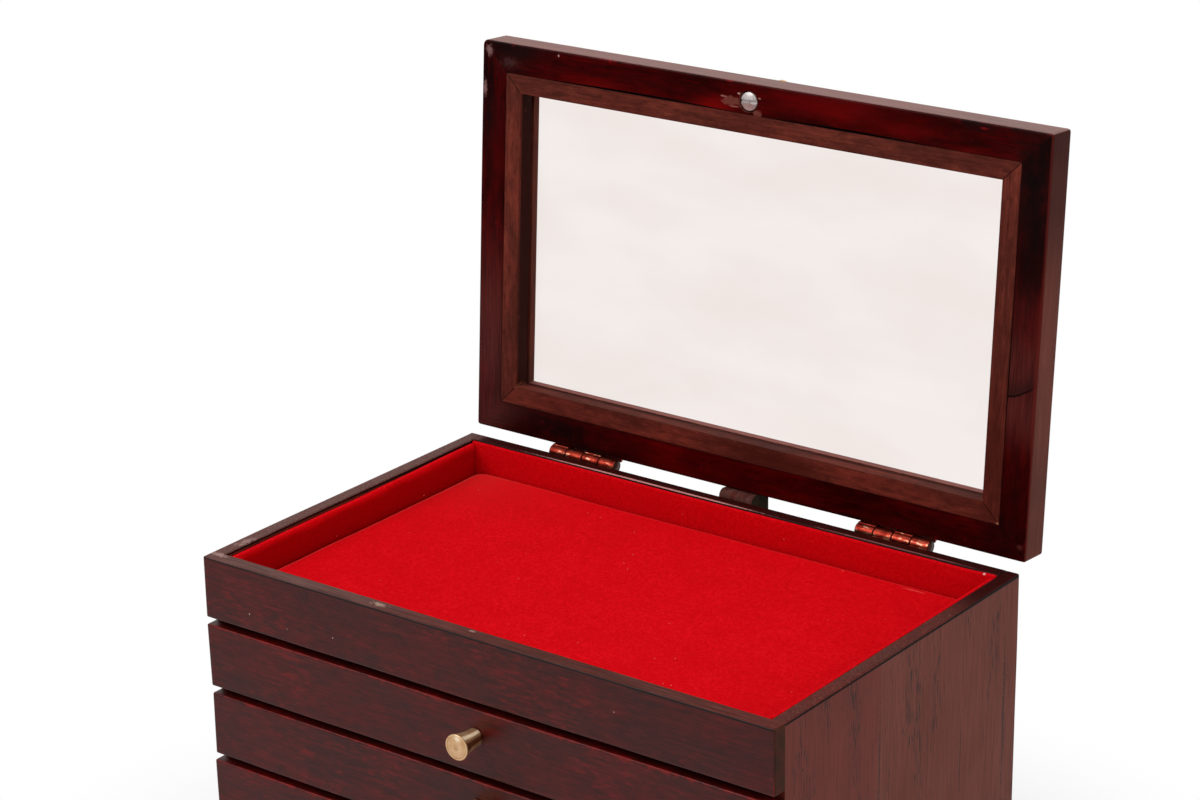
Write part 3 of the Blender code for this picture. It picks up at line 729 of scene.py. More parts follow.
def make_rim_lacquer():
    """The rim's narrow tops: dull red-brown in front and greyer on the left, a painted sheen, near black
    towards the hinges, a painted dark reflection of the lid, with a black line down the arrises, a pale line
    on the inner one at the back that is partly wear and partly a painted highlight, and a few chips down to
    the wood."""
    made, tree, shader = new_finish("rim_lacquer", Specular_IOR_Level=0.06)
    wood = use(tree, WOOD_FIGURE, Length=20.0, Width=700.0)
    spot = place(tree)
    x, y, _ = add(tree, "SeparateXYZ", {0: spot}).outputs
    # Painted dark reflection of the standing lid: darker towards the back
    dark = ramp(tree, maths(tree, "ADD", y, part(tree, maths(tree, "MAXIMUM", x, 0.0), 0.1)), 0.05, 0.078)
    tone = mixed(tree, ramp(tree, wood["Cloud"], 0.35, 0.65), shade(82, 38, 31), shade(100, 40, 34))
    # Painted sheen: the left rims paler and greyer
    ragged = maths(tree, "ADD", x, part(tree, noise(tree, spot, 60.0, 3.0), 0.06))
    left_sheen = ramp(tree, ragged, -0.10, 0.05, 1.0, 0.0)
    tone = layered(
        tree,
        tone,
        (part(tree, left_sheen, 0.8), shade(112, 78, 72)),
        (part(tree, wood["Streaks"], 0.4), shade(62, 28, 22)),
        (ramp(tree, wood["Fibre"], 0.45, 0.64, 0.0, 0.6), shade(46, 17, 13)),
        (ramp(tree, wood["Fibre"], 0.42, 0.28, 0.0, 0.4), shade(150, 108, 100)),
        (maths(tree, "MULTIPLY", dark, ramp(tree, x, -0.145, -0.138, 0.0, 1.0)), shade(46, 7, 5)),
        (part(tree, wood["Pores"], 0.4), shade(26, 8, 6)),
        (ramp(tree, mark(tree, "below"), 0.3, 0.55, 0.0, 0.96), shade(10, 2, 2)),
        *chips(tree, RIM_MARKS),
    )
    plug(tree, shader["Base Color"], tone)
    wood_surface(tree, shader, wood, 0.5, 0.08, 0.35)
    return made


def make_lid_lacquer():
    """The lid's inner face: nearly black red gloss in smooth clouds, redder along the bead, with a painted
    reflection over some stretches, soot in two corners, a brush line and chips."""
    made, tree, shader = new_finish("lid_lacquer", Specular_IOR_Level=0.06)
    pores = {"Pore Length": 90.0, "Pore Width": 1500.0}
    wood = use(tree, WOOD_FIGURE, Length=9.0, Width=150.0, **pores)
    edge = use(tree, EDGE_MARKS, Line=0.8)
    spot = place(tree)
    slow = vectors(tree, "MULTIPLY", mark(tree, "grain", "Vector"), (26.0, 85.0, 85.0))
    drift = noise(tree, slow, 1.0, 3.0, 0.55)
    tone = mixed(tree, ramp(tree, drift, 0.32, 0.66), shade(28, 1, 1), shade(74, 2, 3))
    along = mark(tree, "along")
    x = add(tree, "SeparateXYZ", {0: spot}).outputs[0]
    across = maths(tree, "DIVIDE", maths(tree, "SUBTRACT", x, 0.1345), 0.0150, clamp=True)
    curve = maths(tree, "MULTIPLY_ADD", maths(tree, "POWER", across, 1.7), 6.9, 71.2)
    wavy = maths(tree, "ADD", along, part(tree, noise(tree, spot, 300.0, 2.0), 0.8))
    past = maths(tree, "SUBTRACT", wavy, maths(tree, "ADD", curve, 0.4))
    right = maths(tree, "GREATER_THAN", x, 0.1335)
    brush = maths(tree, "MULTIPLY", ramp(tree, maths(tree, "ABSOLUTE", past), 0.2, 0.55, 1.0, 0.0), right)
    shadow = maths(tree, "MULTIPLY", ramp(tree, past, 0.0, 10.0, 0.7, 0.0), ramp(tree, past, -0.3, 0.3))
    shadow = maths(tree, "MULTIPLY", shadow, right)
    wide = ramp(tree, along, 40.0, 62.0, 1.1, 3.0)
    wide = maths(tree, "SUBTRACT", wide, ramp(tree, along, 90.0, 135.0, 0.0, 1.7))
    rim = ramp(tree, mark(tree, "arris"), 0.2, wide, 0.72, 0.0)
    rim = maths(tree, "MULTIPLY", rim, ramp(tree, x, 0.1462, 0.1482))
    patchy = ramp(tree, noise(tree, spot, 190.0, 3.0, 0.6), 0.35, 0.6)
    seam = ramp(tree, mark(tree, "seam"), 0.0, 0.12, 1.0, 0.0)
    glow = maths(tree, "MULTIPLY", mark(tree, "glow"), ramp(tree, drift, 0.25, 0.6, 0.5, 1.0))
    # painted reflection: a pale veil over some stretches of the lid
    haze = maths(tree, "MULTIPLY", mark(tree, "haze"), ramp(tree, wood["Fibre"], 0.36, 0.64, 1.0, 0.5))
    soot = maths(tree, "MULTIPLY", mark(tree, "soot"), ramp(tree, patchy, 0.0, 1.0, 0.75, 1.0))
    tone = layered(
        tree,
        tone,
        (part(tree, wood["Streaks"], 0.35), shade(22, 1, 1)),
        (ramp(tree, wood["Mottle"], 0.48, 0.68, 0.0, 0.5), shade(18, 1, 1)),
        (ramp(tree, wood["Mottle"], 0.44, 0.28, 0.0, 0.35), shade(98, 4, 5)),
        (ramp(tree, wood["Fibre"], 0.45, 0.66, 0.0, 0.5), shade(20, 1, 1)),
        (ramp(tree, wood["Fibre"], 0.42, 0.3, 0.0, 0.4), shade(92, 3, 4)),
        (part(tree, wood["Pores"], 0.35), shade(12, 1, 1)),
        (glow, shade(122, 5, 5)),
        (haze, shade(90, 38, 34)),
        (shadow, shade(38, 20, 17)),
        (part(tree, brush, 0.95), shade(8, 2, 2)),
        (soot, shade(11, 3, 3)),
        # painted reflection: the thin dark line on the arris
        (part(tree, edge["Line"], 0.35), shade(14, 1, 1)),
        (part(tree, edge["Rubbed"], 0.9), shade(138, 8, 12)),
        (rim, shade(92, 28, 23)),
        *chips(tree, LID_MARKS),
        # painted shade: black where the seam between frame and bead stands open
        (seam, shade(6, 1, 1)),
    )
    plug(tree, shader["Base Color"], tone)
    scuffed = maths(tree, "MAXIMUM", mark(tree, "soot"), mark(tree, "haze"))
    gloss = ramp(tree, wood["Fibre"], 0.3, 0.7, 0.16, 0.26)
    plug(tree, shader["Roughness"], maths(tree, "ADD", gloss, part(tree, scuffed, 0.2)))
    height = maths(tree, "ADD", part(tree, drift, 0.6), part(tree, wood["Fibre"], 0.3))
    plug(tree, shader["Normal"], bump(tree, maths(tree, "SUBTRACT", height, wood["Pores"]), 0.25, 0.0001))
    return made


def make_lid_edge_lacquer(name, light, sooty, **constants):
    """The lid's narrow edges and its outside: dull mauve-brown lacquer in two light tones, more or less
    sooty, darker by the arrises with the painted dark line and paler on the lip under the glass. The copy
    with paler tones and more gloss, on the front bar's outer edge, is painted light from above."""
    made, tree, shader = new_finish(name, **constants)
    wood = use(tree, WOOD_FIGURE, **{"Length": 12.0, "Width": 380.0, "Pore Width": 1900.0})
    edge = use(tree, EDGE_MARKS, Line=0.8)
    tone = mixed(tree, ramp(tree, wood["Cloud"], 0.35, 0.65), shade(*light[0]), shade(*light[1]))
    tone = layered(
        tree,
        tone,
        (part(tree, wood["Streaks"], 0.25), shade(84, 40, 32)),
        (ramp(tree, wood["Fibre"], 0.45, 0.66, 0.0, 0.4), shade(78, 36, 30)),
        (part(tree, wood["Pores"], 0.5), shade(50, 22, 18)),
        (part(tree, mark(tree, "soot"), sooty), shade(48, 16, 13)),
        (mark(tree, "lip"), shade(156, 102, 96)),
        # painted reflection: the thin dark line on the arris
        (part(tree, edge["Line"], 0.5), shade(56, 16, 14)),
    )
    plug(tree, shader["Base Color"], tone)
    wood_surface(tree, shader, wood, 0.52, 0.05, 0.3)
    return made


def make_bead_wood():
    """Matt red-brown beads: fine grain with short dark flecks, darker on the wall towards the glass with
    painted shade.
    """
    made, tree, shader = new_finish("bead_wood", Specular_IOR_Level=0.04)
    pores = {"Pore Length": 190.0, "Pore Width": 2300.0}
    wood = use(tree, WOOD_FIGURE, Length=24.0, Width=620.0, **pores)
    edge = use(tree, EDGE_MARKS, Line=0.5)
    tone = mixed(tree, ramp(tree, wood["Cloud"], 0.35, 0.65), shade(84, 38, 29), shade(120, 53, 41))
    tone = layered(
        tree,
        tone,
        (part(tree, wood["Streaks"], 0.35), shade(72, 27, 19)),
        (ramp(tree, wood["Mottle"], 0.46, 0.66, 0.0, 0.6), shade(58, 23, 17)),
        (ramp(tree, wood["Mottle"], 0.44, 0.28, 0.0, 0.4), shade(144, 68, 52)),
        (ramp(tree, wood["Fibre"], 0.44, 0.66, 0.0, 0.5), shade(62, 24, 18)),
        (part(tree, wood["Pores"], 0.6), shade(42, 14, 9)),
        (mark(tree, "soot"), shade(62, 20, 14)),
        # painted shade on the wall towards the glass
        (mark(tree, "wall"), shade(42, 10, 5)),
        # painted reflection: the thin dark line on the arris
        (part(tree, edge["Line"], 0.45), shade(48, 14, 10)),
        (part(tree, edge["Rubbed"], 0.7), shade(150, 84, 62)),
        (ramp(tree, mark(tree, "mitre"), 0.15, 0.4, 0.9, 0.0), shade(16, 5, 4)),
        *chips(tree, BEAD_MARKS),
    )
    plug(tree, shader["Base Color"], tone)
    wood_surface(tree, shader, wood, 0.6, 0.06, 0.5)
    return made


def make_inner_wood():
    """Bare pale wood inside the drawers: soft streaks, pores and the painted dark line along the edges."""
    made, tree, shader = new_finish("inner_wood", Specular_IOR_Level=0.3)
    wood = use(tree, WOOD_FIGURE, Length=12.0, Width=420.0)
    edge = use(tree, EDGE_MARKS, Line=0.7)
    tone = layered(
        tree,
        mixed(tree, wood["Streaks"], shade(134, 96, 68), shade(160, 122, 92)),
        (ramp(tree, wood["Cloud"], 0.45, 0.75, 0.0, 0.4), shade(146, 96, 66)),
        (part(tree, wood["Pores"], 0.6), shade(84, 54, 36)),
        # painted reflection: the thin dark line on the arris
        (part(tree, edge["Line"], 0.4), shade(98, 66, 46)),
    )
    plug(tree, shader["Base Color"], tone)
    wood_surface(tree, shader, wood, 0.7, 0.05, 0.4)
    return made


def make_velvet():
    """Red cotton velvet: fine pile, brushed clouds, worn paler stretches and lint.

    The pile light mark is painted light and shade: 1 where the pile is lit, more for a painted highlight and
    0 for painted shade, and the worn mark is 1 where the ground of the cloth shows.
    """
    made, tree, shader = new_finish(
        "velvet",
        Roughness=0.95,
        Specular_IOR_Level=0.02,
        Sheen_Weight=0.22,
        Sheen_Roughness=0.4,
        Sheen_Tint=(1.0, 0.02, 0.03, 1.0),
    )
    spot = place(tree)
    pile = noise(tree, spot, 1900.0, 2.0, 0.7)
    tuft = noise(tree, spot, 620.0, 3.0, 0.65)
    brushed = noise(tree, spot, 42.0, 4.0, 0.6)
    nap = mark(tree, "nap")
    # Painted light and shade of the pile: the lit tone where the mark is 1, the shaded tone where it is 0
    lit_tone = mixed(tree, ramp(tree, pile, 0.25, 0.75), shade(190, 2, 10), shade(225, 9, 22))
    shaded_tone = mixed(tree, ramp(tree, pile, 0.25, 0.75), shade(138, 0, 1), shade(148, 0, 2))
    tone = mixed(tree, nap, shaded_tone, lit_tone)
    worn = maths(tree, "MULTIPLY", mark(tree, "worn"), ramp(tree, tuft, 0.3, 0.65, 0.35, 1.0))
    tone = layered(
        tree,
        tone,
        (maths(tree, "MULTIPLY", ramp(tree, tuft, 0.42, 0.72, 0.0, 0.4), nap), shade(182, 1, 8)),
        (maths(tree, "MULTIPLY", ramp(tree, tuft, 0.52, 0.3, 0.0, 0.35), nap), shade(228, 26, 36)),
        (maths(tree, "MULTIPLY", ramp(tree, brushed, 0.35, 0.7, 0.0, 0.3), nap), shade(188, 3, 13)),
        # painted highlight where the mark passes 1
        (ramp(tree, nap, 1.0, 1.5), shade(250, 20, 34)),
        (worn, shade(224, 84, 76)),
    )
    lint = add(tree, "TexVoronoi", {"Vector": spot, "Scale": 230.0, "Randomness": 1.0})
    chosen = maths(tree, "GREATER_THAN", noise(tree, spot, 130.0, 2.0), 0.6)
    fleck = maths(tree, "MULTIPLY", ramp(tree, lint.outputs["Distance"], 0.05, 0.11, 1.0, 0.0), chosen)
    tone = layered(tree, tone, (part(tree, fleck, 0.5), shade(238, 132, 120)), *chips(tree, VELVET_MARKS))
    plug(tree, shader["Base Color"], tone)
    plug(tree, shader["Normal"], bump(tree, maths(tree, "ADD", pile, tuft), 0.5, 0.0003))
    return made


def make_brass():
    """Turned brass: rings of the tool round each knob, dulled in patches. The knob light mark is painted
    light:
    1 for a pale, bright painted highlight, and -1 for a brown painted shade."""
    made, tree, shader = new_finish("brass")
    spot = place(tree)
    dull = noise(tree, spot, 260.0, 3.0)
    lathe = mark(tree, "lathe", "Vector")
    rings = noise(tree, lathe, 1.0, 2.0)
    tone = mixed(tree, ramp(tree, dull, 0.35, 0.7), shade(238, 200, 156), shade(224, 176, 124))
    polish = mark(tree, "polish")
    tone = layered(
        tree,
        tone,
        (ramp(tree, rings, 0.46, 0.66, 0.0, 0.7), shade(172, 106, 58)),
        # painted shade in brown and painted highlight in pale, from the knob light mark
        (ramp(tree, polish, 0.0, -1.0, 0.0, 0.95), shade(112, 58, 24)),
        (ramp(tree, polish, 0.0, 0.9, 0.0, 0.9), shade(255, 232, 196)),
    )
    plug(tree, shader["Base Color"], tone)
    # less metallic under the painted highlight, so that it takes the lamps' light
    plug(tree, shader["Metallic"], ramp(tree, polish, 0.0, 0.9, 0.78, 0.1))
    plug(tree, shader["Roughness"], ramp(tree, dull, 0.3, 0.7, 0.34, 0.44))
    plug(tree, shader["Normal"], bump(tree, rings, 0.4, 0.0001))
    return made


def make_hinge_brass():
    """Brass hinges brushed over with red-brown lacquer, with pale streaks that are partly worn-through brass
    and partly painted glints, grime in the joints between the knuckles, and painted shade on the barrels'
    ends."""
    made, tree, shader = new_finish("hinge_brass", Metallic=1.0)
    spot = place(tree)
    streak = noise(tree, vectors(tree, "MULTIPLY", spot, (210.0, 520.0, 520.0)), 1.0, 3.0, 0.6)
    cloud = ramp(tree, noise(tree, spot, 260.0, 3.0), 0.35, 0.65)
    tone = mixed(tree, cloud, shade(124, 35, 26), shade(164, 60, 44))
    tone = layered(
        tree,
        tone,
        # pale streaks: partly brass worn through the lacquer, partly painted glints
        (ramp(tree, streak, 0.54, 0.68, 0.0, 0.75), shade(226, 166, 132)),
        (part(tree, mark(tree, "rub"), 0.65), shade(60, 20, 15)),
        # painted shade on the barrels' ends
        *chips(tree, HINGE_END_SHADE),
    )
    plug(tree, shader["Base Color"], tone)
    plug(tree, shader["Roughness"], ramp(tree, streak, 0.3, 0.7, 0.42, 0.30))
    plug(tree, shader["Normal"], bump(tree, noise(tree, spot, 420.0, 3.0), 0.15, 0.0001))
    return made


def make_steel():
    """Nickelled screw heads, their tone clouded by tarnish, with a painted brown reflection on part of the
    lid screw's head.
    """
    made, tree, shader = new_finish("steel", Metallic=0.5)
    spot = place(tree)
    tarnish = noise(tree, spot, 600.0, 3.0)
    tone = mixed(tree, ramp(tree, tarnish, 0.5, 0.75), shade(220, 212, 210), shade(176, 164, 158))
    # with the painted brown reflection on the lid screw
    plug(tree, shader["Base Color"], layered(tree, tone, *chips(tree, SCREW_REFLECTION)))
    plug(tree, shader["Roughness"], ramp(tree, tarnish, 0.3, 0.7, 0.26, 0.40))
    return made


def make_stop_wood():
    """The lid's rest: rough mauve-brown wood, its grain upright, nearly black on the ends with painted shade.
    """
    made, tree, shader = new_finish("stop_wood", Specular_IOR_Level=0.04)
    wood = use(tree, WOOD_FIGURE, Length=40.0, Width=420.0)
    tone = layered(
        tree,
        mixed(tree, wood["Streaks"], shade(62, 30, 26), shade(92, 56, 50)),
        (part(tree, wood["Dashes"], 0.5), shade(104, 34, 28)),
        # painted shade on the block's ends
        (mark(tree, "wall"), shade(38, 27, 15)),
    )
    plug(tree, shader["Base Color"], tone)
    wood_surface(tree, shader, wood, 0.7, 0.05, 0.5)
    return made


def make_glass():
    """Clear window glass with a faint cloudy smear wiped across it."""
    made, tree, shader = new_finish("glass", Roughness=0.0, IOR=1.18, Transmission_Weight=1.0)
    smear = noise(tree, vectors(tree, "MULTIPLY", place(tree), (12.0, 12.0, 30.0)), 1.0, 3.0, 0.5)
    tone = mixed(tree, ramp(tree, smear, 0.3, 0.7), shade(240, 231, 227), shade(245, 238, 235))
    plug(tree, shader["Base Color"], tone)
    return made


FRONT_LACQUER = make_front_lacquer()
SIDE_LACQUER = make_side_lacquer()
END_WOOD = make_end_wood()
RIM_LACQUER = make_rim_lacquer()
LID_LACQUER = make_lid_lacquer()
LID_EDGE_LACQUER = make_lid_edge_lacquer(
    "lid_edge_lacquer", ((98, 53, 44), (110, 59, 49)), 1.0, Specular_IOR_Level=0.045
)
# A paler, glossier copy for the front bar's outer edge: painted light falling on it from above
LID_LIT_EDGE_LACQUER = make_lid_edge_lacquer(
    "lid_top_lacquer", ((120, 77, 68), (132, 84, 75)), 0.1, Specular_IOR_Level=0.42
)
BEAD_WOOD = make_bead_wood()
STOP_WOOD = make_stop_wood()
INNER_WOOD = make_inner_wood()
VELVET = make_velvet()
BRASS = make_brass()
HINGE_BRASS = make_hinge_brass()
STEEL = make_steel()
GLASS = make_glass()


# Carcase

TOP_FRONT = ((1, 0), (2, 1))
# How far each front's ends are cut short, in millimetres: left top and foot, right top and foot
FRONT_ENDS = {
    0: (0.0, 0.1, 0.0, 0.0),
    1: (0.0, 0.8, 0.2, 0.3),
    2: (1.0, 0.9, 0.1, 0.2),
    3: (0.1, 0.4, 0.3, 0.0),
    4: (0.7, 0.3, 0.1, 0.4),
    5: (0.2, 0.5, 0.4, 0.1),
}
# How far the rim's finish reaches down the sides, in millimetres
SIDE_RIM = 1.32


def trimmed(low, high, ends):
    """A carving that draws a board's two ends in, by so many millimetres at the top and foot of each."""
    left_top, left_foot, right_top, right_foot = (e * MM for e in ends)

    def carve(points, flat):
        """Moves each point by the two ends' trims at its height, shared by its way along the board."""
        share_x, share_z = ((flat[:, a] - low[a]) / (high[a] - low[a]) for a in (0, 2))
        left = left_foot + (left_top - left_foot) * share_z
        right = right_foot + (right_top - right_foot) * share_z
        points[:, 0] += left * (1 - share_x) - right * share_x
        return points

    return carve


def front_board(number):
    """The fixed rail or a drawer's front: its ends a little out of true, its back sunk for the knob screw."""
    node = "drawer_%d_front" % number if number else "front_rail"
    low, high = corners(node)
    trim = trimmed(low, high, FRONT_ENDS[number])
    if not number:
        return sawn_board(low, high, 0, 40, carve=trim, joints=[(1, 1)])
    worn = [(*TOP_FRONT, 0.95), ((0, 1), (1, 0), 0.35)]
    screw_low, screw_high = corners("drawer_%d_knob_screw" % number)
    x, z = (screw_low + screw_high)[[0, 2]] / 2

    def carve(points, flat):
        """Sinks a round hole in the back for the screw's head, then trims the ends."""
        u, v = rounded_square(flat[:, 0] - x, flat[:, 2] - z, SINK_RADIUS, SINK_RADIUS + SINK_RING)
        behind = flat[:, 1] > high[1] - SHARP
        sunk = behind & (np.maximum(np.abs(flat[:, 0] - x), np.abs(flat[:, 2] - z)) < SINK_RADIUS)
        points[behind, 0] += (u - (flat[:, 0] - x))[behind]
        points[behind, 2] += (v - (flat[:, 2] - z))[behind]
        points[sunk, 1] -= SINK_DEEP
        return trim(points, flat)

    extra = {0: sink_lines(x), 2: sink_lines(z)}
    return sawn_board(low, high, 0, 40 + 7 * number, worn=worn, extra=extra, carve=carve)


def side_board(side, sign, seed):
    """A side of the carcase, with stopped grooves inside for the tray's floor and the drawers' bottoms.
    Points of the front edge that lie in a groove's mouth are drawn back to the groove's floor, which opens
    the mouth."""
    low, high = corners("side_panel_" + side)
    low[1] = corners("front_rail")[1][1]
    runs = [corners(node) for node in ["tray_floor"] + ["drawer_%d_bottom" % n for n in DRAWERS]]
    spans = [(a[2] - GROOVE_PLAY, b[2] + GROOVE_PLAY) for a, b in runs]
    stop = corners("back_panel")[0][1]
    inside = high[0] if sign < 0 else low[0]
    edges = np.array(spans).ravel()
    lines_z = np.sort(np.concatenate([edges - SHARP / 2, edges + SHARP / 2]))
    lines_y = [stop - SHARP / 2, stop + SHARP / 2]

    def carve(points, flat):
        """Moves the points of a groove and of its mouth to the groove's floor."""
        deep = np.abs(flat[:, 0] - inside)
        level = sum((flat[:, 2] > a) & (flat[:, 2] < b) for a, b in spans) > 0
        sunk = level & (deep < SHARP) & (flat[:, 1] < stop)
        mouth = level & (deep < GROOVE) & (flat[:, 1] < low[1] + SHARP)
        points[sunk | mouth, 0] = inside + sign * GROOVE
        return points

    return sawn_board(low, high, 2, seed, extra={1: lines_y, 2: lines_z}, carve=carve, joints=[(1, 0)])


def back_board():
    """The back, set between the sides."""
    low, high = corners("back_panel")
    low[0], high[0] = corners("side_panel_left")[1][0], corners("side_panel_right")[0][0]
    return sawn_board(low, high, 0, 5, joints=[(0, 0), (0, 1)])


def plain_board(node, along, seed, **shape):
    """A board that fills its CAD node's box."""
    return sawn_board(*corners(node), along, seed, **shape)


def top_of(shape, deep=0.001):
    """Points of a board that lie no further below its top than so many millimetres."""
    return shape[2]["below"] < deep


def end_of(shape):
    """Points of a board that lie within half a millimetre of its two ends."""
    return np.abs(np.abs(shape[0][:, 0]) - np.abs(shape[0][:, 0]).max()) < END_TRIM


board = front_board(0)
trims = [(END_WOOD, end_of(board)), (RIM_LACQUER, top_of(board))]
put("front_rail_board", board, FRONT_LACQUER, "carcase", "front_lacquer", "front_rail", trims=trims)
for side, sign, seed in (("left", -1, 11), ("right", 1, 23)):
    name = "side_panel_" + side
    board = side_board(side, sign, seed)
    trims = [(RIM_LACQUER, top_of(board, SIDE_RIM))]
    put(name + "_board", board, SIDE_LACQUER, "carcase", "side_lacquer", name, trims=trims)
board = back_board()
trims = [(RIM_LACQUER, top_of(board))]
put("back_board", board, SIDE_LACQUER, "carcase", "side_lacquer", "back_panel", trims=trims)
put("foot_board", plain_board("base_board", 0, 9), SIDE_LACQUER, "carcase", "side_lacquer", "base_board")
board = plain_board("tray_floor", 0, 13, ease=TRAY_FLOOR_EASE)
trims = [(VELVET, top_of(board))]
put("tray_bottom", board, INNER_WOOD, "carcase", "inner_wood", "tray_floor", trims=trims)


# Velvet

# Painted shade falling over each lining towards its foot: start and end in millimetres below its top, and the
# share of light left
PILE_SHADE_FALLS = {
    "front": (1.0, 4.0, 0.6),
    "back": (3.0, 6.5, 0.8),
    "left": (0.7, 3.6, 0.12),
    "right": (2.0, 6.0, 0.6),
}


def lining_card(side, seed):
    """A velvet-covered card: a thin board with full round edges that bows a little between its ends. The
    right and back ones stand higher, the right one bellies inwards by a half wave, the left one rises
    towards the back and the back one at its right end."""
    low, high = corners("lining_" + side)
    if side in ("right", "back"):
        high[2] += LINING_RISE
    along = int(np.argmax(high - low))
    shape = sawn_board(low, high, along, seed, LINING_EASE, LINING_STEP, LINING_SWAY)
    points, _, marks = shape
    raised = (points[:, 2] - low[2]) / (high[2] - low[2])
    if side == "right":
        points[:, 0] -= RIGHT_LINING_BELLY * np.sin(math.pi * raised)
    if side == "left":
        points[:, 2] += LEFT_LINING_LIFT * raised * np.clip(points[:, 1] / (60 * MM), 0, 1)
    if side == "back":
        right_end = np.clip((points[:, 0] - 0.126) / (12 * MM), 0, 1)
        points[:, 2] += BACK_LINING_LIFT * raised * right_end**2
    # Painted light on the lining: bright at the top and painted shade below, brighter still along the left
    # one's top as a painted highlight
    start, end, left = PILE_SHADE_FALLS[side]
    fall = np.clip((marks["below"] + 0.4 * ripple(points, seed + 9, 0.02) - start) / (end - start), 0, 1)
    most = 1.12 if side == "left" else 1.0
    marks["nap"] = most - (most - left) * fall * fall * (3 - 2 * fall)
    return shape


def rounded_corner(points, low, high, way_x, way_y, radius):
    """One corner of a slab in plan: square rings about the corner's centre drawn onto circles."""
    ways = np.array([way_x, way_y])
    centre = np.where(ways > 0, high[:2] - radius, low[:2] + radius)
    past = (points[:, :2] - centre) * ways
    corner = (past > 0).all(1)
    shrink = past[corner].max(1) / np.hypot(*past[corner].T)
    points[corner, :2] = centre + ways * past[corner] * shrink[:, None]
    return points


def wadded_pad(node, seed, slump=0.0):
    """A wadded velvet pad: a rounded slab, its top crowned by a product of two parabolas, its sides drawn
    in between the corners, and soft hollows all over from slow waves. Its left foot slumps outwards."""
    low, high = corners(node)
    thick = high[2] - low[2]
    lines = [ruled(low[a], high[a], PAD_EDGE * thick, PAD_STEP) for a in range(3)]
    flat, faces = box_grid(lines)
    points = eased(flat, low, high, PAD_EDGE * thick)
    for way_x, way_y, radius in PAD_CORNERS:
        points = rounded_corner(points, low, high, way_x, way_y, radius)
    middle, half = (low + high) / 2, (high - low) / 2
    across, along = (1 - ((flat[:, a] - middle[a]) / half[a]) ** 2 for a in (0, 1))
    raised = (flat[:, 2] - low[2]) / thick
    hollow = PAD_CROWN * (1 - (across * along) ** 0.5) + PAD_HOLLOW * (1 + ripple(flat, seed, 0.05))
    points[:, 2] -= raised * hollow
    points[:, 0] -= PAD_DRAWN_IN * along * ((flat[:, 0] - middle[0]) / half[0]) ** 9
    skirt, belly = (np.clip(1 - (flat[:, 0] - low[0]) / wide, 0, 1) for wide in (PAD_SKIRT, PAD_SLUMP_WIDE))
    points[:, 0] -= slump * (0.74 * ((1 - raised) * skirt) + 0.26 * belly)
    points[:, 1] -= PAD_DRAWN_IN * across * ((flat[:, 1] - middle[1]) / half[1]) ** 9
    sway = PAD_SWAY * np.stack([ripple(flat, seed + k, 0.045) for k in (1, 2)], 1)
    points[:, :2] += sway * raised[:, None]
    marks = marks_of(flat, low, high, 0, seed)
    # Painted shade: the pad's sides darker towards the foot, more on its slumped left foot
    foot = 0.35 + 0.3 * (slump > 0) * (flat[:, 0] < middle[0])
    marks["nap"] = foot + (1 - foot) * raised
    nearness = np.exp(-np.hypot(points[:, 0] - low[0], points[:, 1] - high[1]) / PAD_WORN_WIDE)
    edge = np.exp(-(((marks["arris"] - 0.7) / 0.7) ** 2))
    marks["worn"] = (0.4 + 0.5 * nearness) * edge * raised + 0.22 * nearness
    return points, [faces], marks


for seed, side in enumerate(("front", "back", "left", "right")):
    name = "lining_" + side
    put(name + "_card", lining_card(side, 60 + seed), VELVET, "carcase", "velvet", name)
pad = wadded_pad("tray_pad", 70, TRAY_PAD_SLUMP)
put("tray_cushion", pad, VELVET, "carcase", "velvet", "tray_pad")


# Knobs and screws


